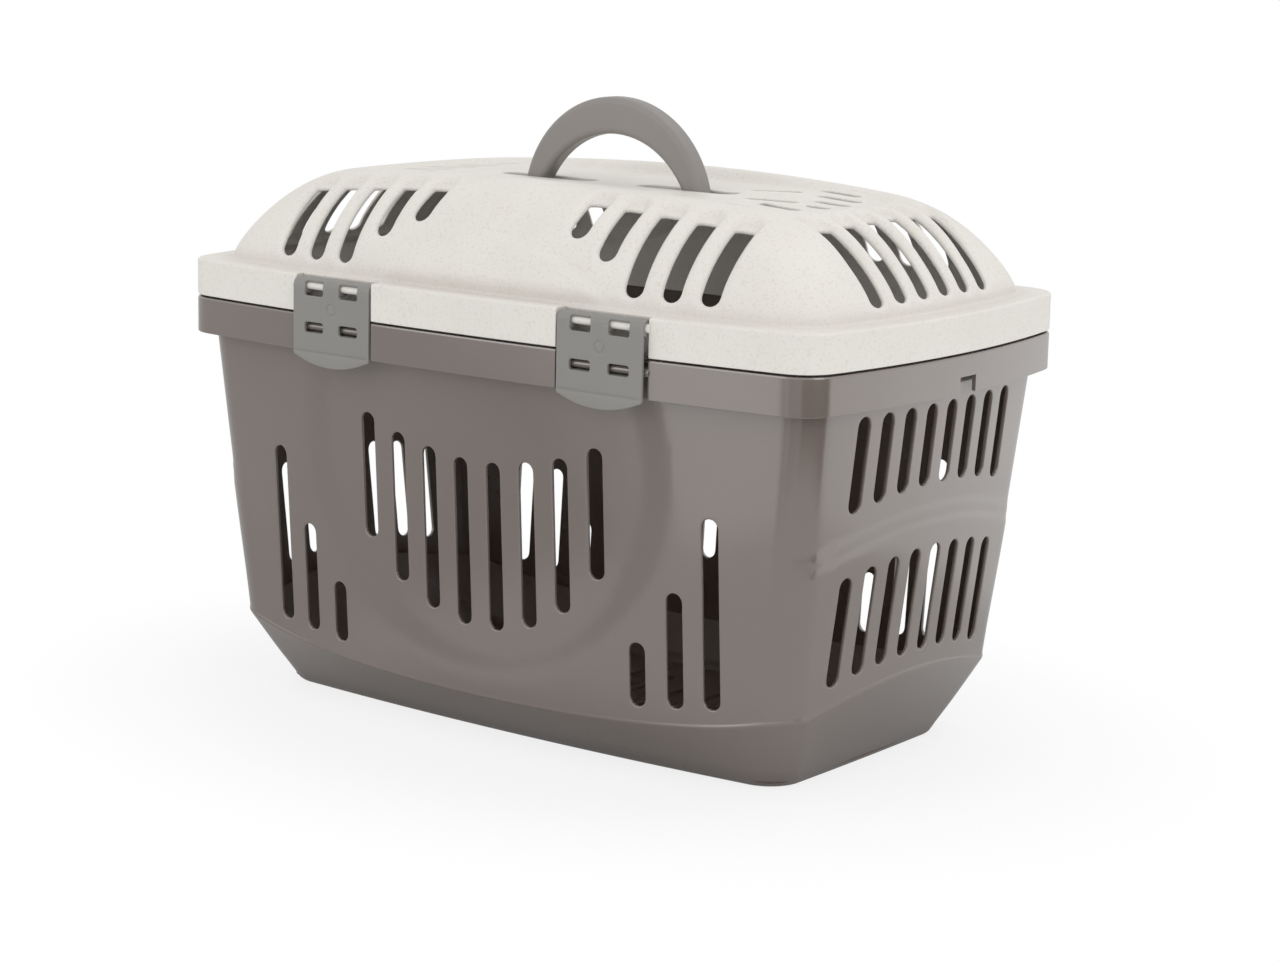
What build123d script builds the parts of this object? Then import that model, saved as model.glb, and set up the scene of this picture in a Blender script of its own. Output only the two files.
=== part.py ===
from build123d import *
import math
import os

# Pet carrier in millimetres: tub below, domed lid above, +Z up, front latches at -Y.
# The origin is the middle of the foot, on the surface the carrier stands on.

# Overall size
length = 490.0
width = 290.0
wall = 2.4
floor_thickness = 2.4

# Plan outline of the rim, whose four sides bow outwards
rim_bow_end = 13.9
rim_bow_long = 14.0
rim_corner = 23.7
rim_top = 244.6
rim_height = 22.3

# Upper walls of the tub, leaning out towards the rim
shoulder_end = 7.7
shoulder_long = 9.3
lean_end = 0.10
lean_long = 0.06
wall_bow_end = 9.8
wall_bow_long = 14.4
wall_corner = 22.0

# Foot of the tub, set in from the rim, and the flare that runs from it up to the belly line
foot_inset_end = 60.5
foot_inset_long = 49.8
foot_bow_end = 1.0
foot_bow_long = 8.6
foot_corner = 26.0
flare_height = 72.0
flare_end = 43.0
flare_long = 70.0
flare_bow_end = 4.0
flare_bow_long = 46.0
flare_corner = 30.0

# Raised bars across the floor, with the bare margins around them
floor_bar_height = 2.0
floor_bar_width = 4.0
floor_bar_pitch = 24.0
floor_margin_end = 27.0
floor_margin_long = 25.2

# Vent slots in the long walls: the middle group's tops below the rim and its round lower edge, then
# the slots beside it, each with its place, top and bottom
slot_width = 10.4
middle_pitch = 24.4
middle_top_drops = (74.1, 70.8, 65.4, 56.5)
middle_arc_radius = 107.0
middle_arc_bottom = 69.4
side_slots = ((161.9, 157.7, 47.5), (138.2, 112.0, 44.7), (113.2, 79.5, 42.0))

# Vent slots in the end walls: an upper row hung from the rim, and a lower row whose tops sag towards
# the corners
end_pitch = 21.3
end_margin = 45.0
end_upper_top_drop = 27.5
end_upper_bottom_drop = 74.9
end_lower_top = 132.9
end_lower_bottom = 69.4
end_sag = 0.0013

# Notch in the lower edge of the rim skirt, at each end
notch_offset = 8.0
notch_width = 17.0
notch_height = 9.5

# Lid
parting_gap = 0.9
band_height = 23.2
band_chamfer = 1.4
band_foot_chamfer = 0.8
ledge_end = 15.0
ledge_long = 14.0
dome_rise = 61.3
dome_inset = 56.0
dome_bow_end = 11.2
dome_bow_long = 13.5
dome_corner = 38.0
dome_power = 1.5
dome_levels = (0.0, 0.12, 0.28, 0.46, 0.64, 0.80, 0.92, 0.98, 1.0)
crown_radius = 2083.0
locating_gap = 0.8
locating_depth = 4.0
locating_wall = 2.0

# Recess in the top of the lid, set in from the foot of the dome and down from its crest
recess_inset_end = 58.0
recess_inset_long = 63.0
recess_bow = 6.0
recess_corner = 34.0
recess_depth = 6.3

# Vent slots in the lid. The ends of a dome slot are each set in from the foot of the dome, and up
# from the ledge
dome_slot_width = 11.5
dome_slot_pitch = 24.5
dome_slot_first = 58.6
dome_slot_top = (40.0, 52.2)
dome_slot_bottoms = ((16.7, 36.1), (10.8, 25.9), (3.9, 8.2), (4.1, 8.2), (6.8, 8.2))
dome_end_pitch = 22.2
dome_end_slot_width = 10.5
dome_end_top = (43.5, 49.7)
dome_end_bottom = (2.4, 8.5)
dome_end_margin = 60.0
top_vent_gap = 30.0
top_vent_inset = 16.0
top_vent_width = 9.0

# Snap clips: two front latches and two rear hinge clips, all the same. Heights are from the rim top
clip_offset = 100.0
clip_width = 59.8
clip_plate = 2.2
clip_side_drop = 23.6
clip_middle_drop = 30.3
clip_side_gap = 2.1
clip_face_inset = 0.42
pivot_rise = 17.4
pivot_bar_radius = 2.6
pivot_clearance = 0.08
barrel_wall = 2.1
barrel_gap = 0.42
barrel_snap = 0.9
catch_drop = 7.1
catch_bar_radius = 2.3
jaw_clearance = 0.7
jaw_thickness = 1.6
jaw_reach = 3.3
jaw_side_inset = 7.4
window_offset = 13.5
window_width = 14.6
window_corner = 1.5
upper_window_height = 9.0
upper_window_drop = 1.2
cheek = 2.0

# Handle: a crescent between two circles, whose centres lie below the floor of the recess
grip_outer_radius = 68.3
grip_outer_drop = 16.8
grip_inner_radius = 59.3
grip_inner_drop = 30.0
grip_thickness = 14.0
grip_edge = 4.0
grip_side_clearance = 0.6
toe_length = 28.0
toe_thickness = 5.0
toe_gap = 0.3
leg_overlap = 4.3
handle_slot_inner = 16.0
handle_slot_end_gap = 19.7

# Values that follow from the ones above
rim_half_x = length / 2
rim_half_y = width / 2
wall_top_half_x = rim_half_x - shoulder_end
wall_top_half_y = rim_half_y - shoulder_long
foot_half_x = rim_half_x - foot_inset_end
foot_half_y = rim_half_y - foot_inset_long
floor_bar_half_length = foot_half_y - floor_margin_long
dome_half_x = rim_half_x - ledge_end
dome_half_y = rim_half_y - ledge_long
recess_half_x = dome_half_x - recess_inset_end
recess_half_y = dome_half_y - recess_inset_long
rim_bottom = rim_top - rim_height
lid_bottom = rim_top + parting_gap
ledge_z = rim_top + band_height
recess_floor = ledge_z + dome_rise - recess_depth
pivot_z = rim_top + pivot_rise
catch_z = rim_top - catch_drop
barrel_radius = pivot_bar_radius + pivot_clearance + barrel_wall
barrel_mouth = 2 * pivot_bar_radius - barrel_snap
clip_face_y = rim_half_y - clip_face_inset
pivot_y = clip_face_y - barrel_radius
pocket_floor_y = pivot_y - barrel_radius - barrel_gap
pocket_half = clip_width / 2 + clip_side_gap
catch_half_gap = catch_bar_radius + jaw_clearance
grip_outer_z = recess_floor - grip_outer_drop
grip_inner_z = recess_floor - grip_inner_drop
handle_slot_outer = grip_outer_radius + handle_slot_end_gap
above = 60.0
corner_share = 0.95


def places(half, margin, pitch):
    # As many evenly spaced places about the middle as fit between two margins
    count = int(2 * (half - margin) / pitch)
    return [(step - (count - 1) / 2) * pitch for step in range(count)]


def bowed(half_x, half_y, bow_x, bow_y, corner, z):
    # A rectangle whose sides bow outwards, with rounded corners, at height z
    corner_x = half_x - bow_x
    corner_y = half_y - bow_y
    corner = min(corner, corner_share * corner_x, corner_share * corner_y)
    front = ThreePointArc((-corner_x, -corner_y), (0, -half_y), (corner_x, -corner_y))
    right = ThreePointArc((corner_x, -corner_y), (half_x, 0), (corner_x, corner_y))
    back = ThreePointArc((corner_x, corner_y), (0, half_y), (-corner_x, corner_y))
    left = ThreePointArc((-corner_x, corner_y), (-half_x, 0), (-corner_x, -corner_y))
    face = make_face([front, right, back, left])
    return Pos(0, 0, z) * fillet(face.vertices(), corner)


def rim_outline(inset, z):
    return bowed(rim_half_x - inset, rim_half_y - inset, rim_bow_end, rim_bow_long, rim_corner - inset, z)


def wall_outline(inset, z):
    drop = rim_top - z
    half_x = wall_top_half_x - lean_end * drop - inset
    half_y = wall_top_half_y - lean_long * drop - inset
    return bowed(half_x, half_y, wall_bow_end, wall_bow_long, wall_corner - inset, z)


def upright(face, height):
    return extrude(face, amount=height, dir=(0, 0, 1))


def block(x0, x1, y0, y1, z0, z1):
    middle = Pos((x0 + x1) / 2, (y0 + y1) / 2, (z0 + z1) / 2)
    return middle * Box(x1 - x0, y1 - y0, z1 - z0)


def tub_body(inset, bottom, top):
    # Leaning walls, narrowed below the belly line by the flare from the foot
    walls = loft([wall_outline(inset, bottom - 1), wall_outline(inset, top)], ruled=True)
    foot = bowed(foot_half_x - inset, foot_half_y - inset, foot_bow_end, foot_bow_long,
                 foot_corner - inset, bottom)
    flared = bowed(foot_half_x + flare_end - inset, foot_half_y + flare_long - inset, flare_bow_end,
                   flare_bow_long, flare_corner - inset, flare_height)
    flare = loft([foot, flared], ruled=True)
    surround = block(-length, length, -width, width, bottom - 2, flare_height)
    return walls - (surround - flare)


def slot_face(across, low, high, wide):
    # One upright slot with round ends, in a sketch plane's own coordinates
    return Pos(across, (low + high) / 2) * SlotOverall(high - low, wide, rotation=90)


def long_wall_slots():
    faces = []
    for step, drop in enumerate(middle_top_drops):
        across = (step + 0.5) * middle_pitch
        top = rim_top - drop
        sag = middle_arc_radius - math.sqrt(middle_arc_radius ** 2 - across ** 2)
        bottom = middle_arc_bottom + sag
        faces += [slot_face(side * across, bottom, top, slot_width) for side in (-1, 1)]
    for across, top, bottom in side_slots:
        faces += [slot_face(side * across, bottom, top, slot_width) for side in (-1, 1)]
    return [extrude(Plane.XZ * face, amount=width, both=True) for face in faces]


def end_wall_slots():
    faces = []
    for across in places(wall_top_half_y, end_margin, end_pitch):
        sag = end_sag * across ** 2
        faces.append(slot_face(across, rim_top - end_upper_bottom_drop - sag, rim_top - end_upper_top_drop,
                               slot_width))
        faces.append(slot_face(across, end_lower_bottom - sag, end_lower_top - sag, slot_width))
    return [extrude(Plane.YZ * face, amount=length, both=True) for face in faces]


def clip_places():
    # Front then rear, left then right: the side's sign in X, and in Y
    return [(side, face) for face in (-1, 1) for side in (-1, 1)]


def pocket(side, face, bottom, top):
    x = side * clip_offset
    y0, y1 = sorted((face * pocket_floor_y, face * width))
    return block(x - pocket_half, x + pocket_half, y0, y1, bottom, top)


def cheeks(side, face, bottom, top, inner_y):
    # The two side walls of a pocket, which carry the ends of its bar
    x = side * clip_offset
    y0, y1 = sorted((face * inner_y, face * width))
    plates = []
    for end in (-1, 1):
        middle = x + end * (pocket_half + cheek / 2)
        plates.append(block(middle - cheek / 2, middle + cheek / 2, y0, y1, bottom, top))
    return plates


def cross_bar(side, face, z, radius, rim):
    # The bar across a pocket, whose ends stay inside the bowed rim
    bar = Cylinder(radius, 2 * pocket_half + 2 * cheek, rotation=(0, 90, 0))
    bar = Pos(side * clip_offset, face * pivot_y, z) * bar
    return (bar & rim) + (bar & pocket(side, face, z - radius, z + radius))


def make_base_tub():
    tub = tub_body(0, 0, rim_top)
    skirt = upright(rim_outline(0, rim_bottom), rim_height)
    skirt -= upright(rim_outline(wall, rim_bottom - 1), rim_height - wall + 1)
    for side, face in clip_places():
        skirt -= pocket(side, face, rim_bottom - 1, rim_top + 1)
    solid_rim = upright(rim_outline(0, rim_bottom), rim_height)
    for side, face in clip_places():
        for plate in cheeks(side, face, rim_bottom, rim_top, wall_top_half_y - wall_bow_long):
            skirt += plate & solid_rim
        skirt += cross_bar(side, face, catch_z, catch_bar_radius, solid_rim)
    for side in (-1, 1):
        low, high = sorted((side * (rim_half_x - rim_bow_end), side * length))
        skirt -= block(low, high, notch_offset - notch_width / 2, notch_offset + notch_width / 2,
                       rim_bottom - 1, rim_bottom + notch_height)
    body = tub + skirt
    body -= tub_body(wall, floor_thickness, rim_top + 1)
    body -= long_wall_slots()
    body -= end_wall_slots()
    for x in places(foot_half_x, floor_margin_end, floor_bar_pitch):
        body += block(x - floor_bar_width / 2, x + floor_bar_width / 2, -floor_bar_half_length,
                      floor_bar_half_length, floor_thickness - 0.5, floor_thickness + floor_bar_height)
    return body


def dome(inset, rise):
    # Stacked outlines that draw in towards the top, cut to the long shallow crown
    sections = []
    for level in dome_levels:
        drawn = dome_inset * (1 - math.sqrt(1 - level ** dome_power))
        sections.append(bowed(dome_half_x - inset - drawn, dome_half_y - inset - drawn, dome_bow_end,
                              dome_bow_long, dome_corner - inset, ledge_z + rise * level))
    crown = Pos(0, 0, ledge_z + rise - crown_radius) * Cylinder(crown_radius, 2 * width, rotation=(90, 0, 0))
    return loft(sections, ruled=True) & crown


def recess_block(grow, floor_z):
    half_x = recess_half_x + grow
    half_y = recess_half_y + grow
    return upright(bowed(half_x, half_y, recess_bow, recess_bow, recess_corner + grow, floor_z), above)


def lid_shell():
    band = upright(rim_outline(0, lid_bottom), ledge_z - lid_bottom)
    band = chamfer(band.edges().group_by(Axis.Z)[-1], band_chamfer)
    band = chamfer(band.edges().group_by(Axis.Z)[0], band_foot_chamfer)
    outer = band + dome(0, dome_rise)
    outer -= recess_block(0, recess_floor)
    hollow_band = upright(rim_outline(wall, lid_bottom - 1), ledge_z - wall - lid_bottom + 1)
    hollow_dome = dome(wall, dome_rise - wall) - recess_block(wall, recess_floor - wall)
    throat = upright(bowed(dome_half_x - wall, dome_half_y - wall, dome_bow_end, dome_bow_long,
                           dome_corner - wall, ledge_z - 2 * wall), 2 * wall)
    return outer - hollow_band - throat - hollow_dome


def locating_ring():
    # The wall under the ledge that drops into the tub and keeps the lid in place
    inset = wall + locating_gap
    bottom = rim_top - locating_depth
    ring = upright(wall_outline(inset, rim_top), ledge_z - wall / 2 - rim_top)
    ring += loft([wall_outline(inset, bottom), wall_outline(inset, rim_top)], ruled=True)
    inner = upright(wall_outline(inset + locating_wall, bottom - 1), ledge_z + 1 - bottom)
    return ring - inner


def tilted_slot(low, high, across, wide, along):
    # A slot cut square to the dome, from its low end to its high end, each an (out, up) pair
    out = high[0] - low[0]
    up = high[1] - low[1]
    run = math.hypot(out, up)
    middle_out = (low[0] + high[0]) / 2
    middle_up = (low[1] + high[1]) / 2
    if along == "y":
        origin = (across, middle_out, middle_up)
        sideways = (1, 0, 0)
        normal = (0, -up, out) if low[0] < 0 else (0, up, -out)
    else:
        origin = (middle_out, across, middle_up)
        sideways = (0, 1, 0)
        normal = (-up, 0, out) if low[0] < 0 else (up, 0, -out)
    plane = Plane(origin=origin, x_dir=sideways, z_dir=normal)
    face = plane * SlotOverall(run, wide, rotation=90)
    return extrude(face, amount=above / 2, both=True)


def on_dome(half, side, point):
    # A slot's end, from its inset and rise to its place out from the middle and its height
    inset, rise = point
    return side * (half - inset), ledge_z + rise


def lid_slots():
    cuts = []
    for face in (-1, 1):
        high = on_dome(dome_half_y, face, dome_slot_top)
        for step, bottom in enumerate(dome_slot_bottoms):
            low = on_dome(dome_half_y, face, bottom)
            across = dome_slot_first + step * dome_slot_pitch
            for side in (-1, 1):
                cuts.append(tilted_slot(low, high, side * across, dome_slot_width, "y"))
    top_vent_inner = handle_slot_outer + top_vent_gap
    top_vent_outer = recess_half_x - top_vent_inset
    vent = SlotOverall(top_vent_outer - top_vent_inner, top_vent_width)
    for end in (-1, 1):
        low = on_dome(dome_half_x, end, dome_end_bottom)
        high = on_dome(dome_half_x, end, dome_end_top)
        middle = end * (top_vent_inner + top_vent_outer) / 2
        for across in places(dome_half_y, dome_end_margin, dome_end_pitch):
            cuts.append(tilted_slot(low, high, across, dome_end_slot_width, "x"))
            cuts.append(upright(Pos(middle, across, recess_floor - above / 2) * vent, above))
    return cuts


def handle_slot(side):
    middle = side * (handle_slot_inner + handle_slot_outer) / 2
    face = SlotOverall(handle_slot_outer - handle_slot_inner, grip_thickness + 2 * grip_side_clearance)
    return upright(Pos(middle, 0, recess_floor - above / 4) * face, above / 2)


def make_lid():
    body = lid_shell() + locating_ring()
    for side, face in clip_places():
        body -= pocket(side, face, lid_bottom - 1, ledge_z + 1)
    solid_band = upright(rim_outline(0, lid_bottom), ledge_z - lid_bottom)
    for side, face in clip_places():
        for plate in cheeks(side, face, lid_bottom, ledge_z, pocket_floor_y - wall):
            body += plate & solid_band
        body += cross_bar(side, face, pivot_z, pivot_bar_radius, solid_band)
    body -= lid_slots()
    for side in (-1, 1):
        body -= handle_slot(side)
    return body


def make_handle():
    toe_top = recess_floor - wall - toe_gap
    toe_bottom = toe_top - toe_thickness
    legs = Pos(0, grip_outer_z + grip_outer_radius) * Rectangle(
        2 * grip_outer_radius, 2 * (grip_outer_z + grip_outer_radius - toe_bottom))
    crescent = Pos(0, grip_outer_z) * Circle(grip_outer_radius) & legs
    crescent -= Pos(0, grip_inner_z) * Circle(grip_inner_radius)
    grip = extrude(Plane.XZ * crescent, amount=grip_thickness / 2, both=True)
    arcs = grip.edges().filter_by(GeomType.CIRCLE)
    grip = fillet(arcs, grip_edge)
    reach = math.sqrt(grip_outer_radius ** 2 - (toe_bottom - grip_outer_z) ** 2)
    for side in (-1, 1):
        low, high = sorted((side * (grip_inner_radius - leg_overlap), side * (reach + toe_length)))
        grip += block(low, high, -grip_thickness / 2, grip_thickness / 2, toe_bottom, toe_top)
    return grip


def make_clip():
    # Modelled at its own middle, for the front face, then placed
    half = clip_width / 2
    clip_side_bottom = rim_top - clip_side_drop
    clip_middle_bottom = rim_top - clip_middle_drop
    outline = make_face([
        Line((-half, pivot_z), (-half, clip_side_bottom)),
        ThreePointArc((-half, clip_side_bottom), (0, clip_middle_bottom), (half, clip_side_bottom)),
        Line((half, clip_side_bottom), (half, pivot_z)),
        Line((half, pivot_z), (-half, pivot_z)),
    ])
    plate = Pos(0, -clip_face_y + clip_plate, 0) * extrude(Plane.XZ * outline, amount=clip_plate)
    body = plate + Pos(0, -pivot_y, pivot_z) * Cylinder(barrel_radius, clip_width, rotation=(0, 90, 0))
    jaw_half_width = half - jaw_side_inset
    for edge in (-1, 1):
        rib_z = catch_z + edge * (catch_half_gap + jaw_thickness / 2)
        body += block(-jaw_half_width, jaw_half_width, -clip_face_y + clip_plate / 2, -pivot_y + jaw_reach,
                      rib_z - jaw_thickness / 2, rib_z + jaw_thickness / 2)
    bore = Cylinder(pivot_bar_radius + pivot_clearance, 2 * clip_width, rotation=(0, 90, 0))
    body -= Pos(0, -pivot_y, pivot_z) * bore
    body -= block(-clip_width, clip_width, -pivot_y, 0, pivot_z - barrel_mouth / 2, pivot_z + barrel_mouth / 2)
    for z, tall in ((pivot_z - upper_window_drop, upper_window_height), (catch_z, 2 * catch_half_gap)):
        for edge in (-1, 1):
            window = Pos(edge * window_offset, z) * RectangleRounded(window_width, tall, window_corner)
            body -= extrude(Plane.XZ * window, amount=width)
    return body


parts = {"base_tub": make_base_tub(), "lid": make_lid(), "handle": make_handle()}
clip = make_clip()
for side, name in ((-1, "left"), (1, "right")):
    parts["front_latch_" + name] = Pos(side * clip_offset, 0, 0) * clip
    parts["rear_clip_" + name] = Pos(side * clip_offset, 0, 0) * Rot(0, 0, 180) * clip

os.makedirs("parts", exist_ok=True)
for name, solid in parts.items():
    solid.label = name
    export_step(solid, "parts/" + name + ".step")
    print(name, "solids", len(solid.solids()), "volume", round(solid.volume))
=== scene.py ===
import math
import bmesh
import bpy
import numpy as np
from mathutils import Matrix, Vector
from mathutils.geometry import delaunay_2d_cdt


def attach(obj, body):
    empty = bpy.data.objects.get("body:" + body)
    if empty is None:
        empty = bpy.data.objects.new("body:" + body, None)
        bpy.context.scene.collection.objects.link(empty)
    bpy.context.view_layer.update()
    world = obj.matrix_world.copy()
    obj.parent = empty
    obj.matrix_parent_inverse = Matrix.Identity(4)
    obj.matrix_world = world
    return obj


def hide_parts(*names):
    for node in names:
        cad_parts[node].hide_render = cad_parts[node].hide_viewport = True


# Pet carrier: taupe tub, off-white speckled lid, four snap clips and a sliding crescent handle
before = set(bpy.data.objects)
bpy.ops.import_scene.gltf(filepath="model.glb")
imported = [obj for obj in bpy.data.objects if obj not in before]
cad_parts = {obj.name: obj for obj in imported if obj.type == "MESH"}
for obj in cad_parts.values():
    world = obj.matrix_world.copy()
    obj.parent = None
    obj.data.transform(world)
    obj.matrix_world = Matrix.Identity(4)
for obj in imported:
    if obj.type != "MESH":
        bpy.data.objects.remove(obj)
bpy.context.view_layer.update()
print("frame loaded:", sorted(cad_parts))

camera = {
    "azimuth": 36.89, "elevation": 11.07, "roll": 1.27,   # degrees
    "target": (0.02194, 0.0, 0.14309), "distance": 1.84144,
    "lens": 85.09, "sensor": 36.0,                        # millimetres
}

stage = {
    "floorColour": "F6F6F7", "floorDark": "F2F2F4", "floorHalf": 6.0, "floorRoughness": 0.6,
    "floorGap": 0.0004,                                   # metres under the part
    "fade": (0.22, 0.40), "fadeStretch": (0.92, 1.15, 1.0), "fadeBase": 0.8,
    # painted shade: how the painted reflection strips dim close to the part
    "cardFade": (0.13, 0.32), "cardNear": 0.35,
    # painted reflections, what glossy surfaces see on the floor: glowing strips that stand in for softboxes;
    # direction from the right front corner, degrees, and how bright
    "cardCentre": (0.22, -0.12, 0.0),
    "cards": ((-180, 0.7), (-62, 0.4), (-46, 0.34), (-38, 0.5), (-34, 1.0), (-22, 1.0), (-14, 0.36),
              (-4, 0.5), (4, 0.3), (32, 0.32), (38, 0.04), (108, 0.03), (118, 1.0), (126, 0.9), (138, 1.0),
              (155, 1.0), (180, 0.8)),
    "plainCard": 0.6, "cardReach": (0.40, 0.52), "farCards": (0.6, 0.9, 0.85),
    "worldLight": 0.80,
    # name: place, where it looks, width, height, watts, colour
    "lamps": {
        "softTop": ((0.5, 0.6, 2.2), (0.0, 0.0, 0.2), 1.6, 1.6, 7, "FFFFFF"),
        "softRight": ((2.2, -0.4, 0.9), (0.1, 0.0, 0.15), 1.0, 1.4, 6, "FFFFFF"),
        "softFront": ((-1.1, -2.4, 1.0), (0.0, 0.0, 0.15), 2.0, 1.6, 9, "FFFFFF"),
    },
}


def fromHex(code):
    # A colour as picked on screen, turned into the linear numbers that shaders want
    channels = []
    for i in (0, 2, 4):
        c = int(code[i:i + 2], 16) / 255
        channels.append(c / 12.92 if c <= 0.04045 else ((c + 0.055) / 1.055) ** 2.4)
    return (*channels, 1.0)


def node(tree, kind, inputs=None, **settings):
    made = tree.nodes.new(kind)
    for key, value in settings.items():
        setattr(made, key, value)
    for key, value in (inputs or {}).items():
        if isinstance(value, bpy.types.NodeSocket):
            tree.links.new(value, made.inputs[key])
        else:
            made.inputs[key].default_value = value
    return made


def ramp(tree, value, stops):
    made = node(tree, "ShaderNodeValToRGB", {"Fac": value})
    elements = made.color_ramp.elements
    while len(elements) < len(stops):
        elements.new(0.5)
    for element, (place, colour) in zip(elements, stops):
        element.position = place
        element.color = colour if len(colour) == 4 else (*colour, 1.0)
    return made.outputs["Color"]


def grey(v):
    return (v, v, v, 1.0)


def mouldedPlastic(name, look):
    material = bpy.data.materials.new(name)
    material.use_nodes = True
    tree = material.node_tree
    tree.nodes.clear()
    place = node(tree, "ShaderNodeTexCoord").outputs["Object"]
    # broad, faint clouding of the colour, as in moulded plastic
    cloud = node(tree, "ShaderNodeTexNoise", {"Vector": place, "Scale": look["cloudScale"], "Detail": 3.0})
    tinted = node(tree, "ShaderNodeMix", {"Factor": cloud.outputs["Fac"], "A": fromHex(look["dark"]),
                  "B": fromHex(look["light"])}, data_type="RGBA")
    colour = tinted.outputs["Result"]
    if look.get("speck"):
        # fine specks of another colour through the plastic
        fleck = node(tree, "ShaderNodeTexNoise", {"Vector": place, "Scale": look["speckScale"],
                     "Detail": 2.0})
        edge = look["speckEdge"]
        mask = ramp(tree, fleck.outputs["Fac"], [(edge, grey(0)), (edge + 0.09, grey(1))])
        amount = node(tree, "ShaderNodeMath", {0: mask, 1: look["speckAmount"]}, operation="MULTIPLY")
        mixed = node(tree, "ShaderNodeMix", {"Factor": amount.outputs[0], "A": colour,
                     "B": fromHex(look["speck"])}, data_type="RGBA")
        colour = mixed.outputs["Result"]
    if look.get("shade"):
        # painted shade: hollows found by ambient occlusion darken a little towards a warmer colour
        light = node(tree, "ShaderNodeAmbientOcclusion", {"Distance": look["shadeReach"]}, samples=6)
        deep = node(tree, "ShaderNodeMath", {0: 1.0, 1: light.outputs["AO"]}, operation="SUBTRACT")
        amount = node(tree, "ShaderNodeMath", {0: deep.outputs[0], 1: look["shadeAmount"]},
                      operation="MULTIPLY")
        paintedShadeMix = node(tree, "ShaderNodeMix", {"Factor": amount.outputs[0], "A": colour,
                      "B": fromHex(look["shade"])}, data_type="RGBA")
        colour = paintedShadeMix.outputs["Result"]
    # handled edges and ridges rub a little lighter; in the tub's inside finish the same lighter edges are
    # turned up into painted highlights on the floor bars
    edge = node(tree, "ShaderNodeNewGeometry").outputs["Pointiness"]
    edgeWearAndHighlightMask = ramp(tree, edge, [(0.52, grey(0)), (0.62, grey(1))])
    edgeBreakup = node(tree, "ShaderNodeTexNoise", {"Vector": place, "Scale": 60.0, "Detail": 4.0})
    wear = node(tree, "ShaderNodeMath", {0: edgeWearAndHighlightMask, 1: edgeBreakup.outputs["Fac"]}, operation="MULTIPLY")
    wearAndHighlightAmount = node(tree, "ShaderNodeMath", {0: wear.outputs[0], 1: look["wear"]}, operation="MULTIPLY")
    edgeWearAndHighlightMix = node(tree, "ShaderNodeMix", {"Factor": wearAndHighlightAmount.outputs[0], "A": colour,
                 "B": fromHex(look["edge"])}, data_type="RGBA")
    # roughness wanders between two values, with faint rubbed smears
    smear = node(tree, "ShaderNodeTexNoise", {"Vector": place, "Scale": look["smearScale"], "Detail": 5.0})
    rough = node(tree, "ShaderNodeMapRange", {"Value": smear.outputs["Fac"], "From Min": 0.3,
                 "From Max": 0.7, "To Min": look["roughness"][0], "To Max": look["roughness"][1]})
    grain = node(tree, "ShaderNodeTexNoise", {"Vector": place, "Scale": look["grainScale"], "Detail": 3.0})
    bump = node(tree, "ShaderNodeBump", {"Height": grain.outputs["Fac"], "Strength": look["grain"],
                "Distance": 0.0004})
    shader = node(tree, "ShaderNodeBsdfPrincipled", {
        "Base Color": edgeWearAndHighlightMix.outputs["Result"], "Roughness": rough.outputs["Result"],
        "Normal": bump.outputs["Normal"], "IOR": look["ior"], "Coat IOR": look["ior"],
        "Coat Weight": look["coat"], "Coat Roughness": look["coatRoughness"]})
    node(tree, "ShaderNodeOutputMaterial", {"Surface": shader.outputs[0]})
    return material


finishes = {
    "tubPlastic": {"dark": "71665F", "light": "786D66", "cloudScale": 9, "edge": "8A827D", "wear": 0.25,
                   # painted shade: the colour that hollows darken towards, how far the occlusion looks and
                   # how much
                   "shade": "4E4641", "shadeReach": 0.012, "shadeAmount": 0.5,
                   "smearScale": 14, "roughness": (0.17, 0.24), "grainScale": 260, "grain": 0.015,
                   "coat": 0.9, "coatRoughness": 0.07, "ior": 1.8},
    # painted shade: a darker copy of the tub's plastic for its inner faces, standing in for its dimly lit
    # inside; the lighter edge colour and high wear amount paint highlights on the floor bars
    "tubInside": {"dark": "5A4C42", "light": "635449", "cloudScale": 9, "edge": "8A7F78", "wear": 0.8,
                  "smearScale": 14, "roughness": (0.25, 0.33), "grainScale": 260, "grain": 0.03,
                  "coat": 0.0, "coatRoughness": 0.1, "ior": 1.5},
    "lidPlastic": {"dark": "E2DED7", "light": "EAE7E0", "cloudScale": 30, "edge": "F6F4F0", "wear": 0.5,
                   # painted shade: the colour that hollows darken towards, how far the occlusion looks and
                   # how much
                   "shade": "B9ADA8", "shadeReach": 0.014, "shadeAmount": 0.75,
                   "speck": "C9C2B6", "speckScale": 620, "speckEdge": 0.56, "speckAmount": 0.3,
                   "smearScale": 25, "roughness": (0.42, 0.55), "grainScale": 900, "grain": 0.12,
                   "coat": 0.0, "coatRoughness": 0.3, "ior": 1.5},
    "handlePlastic": {"dark": "8A8582", "light": "928D89", "cloudScale": 12, "edge": "B0A8A3", "wear": 0.3,
                      "smearScale": 30, "roughness": (0.36, 0.46), "grainScale": 700, "grain": 0.1,
                      "coat": 0.0, "coatRoughness": 0.3, "ior": 1.5},
    "clipPlastic": {"dark": "878581", "light": "8F8D89", "cloudScale": 20, "edge": "B2B0AC", "wear": 0.4,
                    "smearScale": 35, "roughness": (0.38, 0.5), "grainScale": 800, "grain": 0.1,
                    "coat": 0.0, "coatRoughness": 0.3, "ior": 1.5},
}
materials = {name: mouldedPlastic(name, look) for name, look in finishes.items()}
print("materials made:", sorted(materials))

nodeFinish = {"base_tub": "tubPlastic", "lid": "lidPlastic", "handle": "handlePlastic"}
for name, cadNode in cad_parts.items():
    cadNode.data.materials.clear()
    cadNode.data.materials.append(materials[nodeFinish.get(name, "clipPlastic")])


mm = 0.001          # every size below is in millimetres; meshes are made in metres


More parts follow.
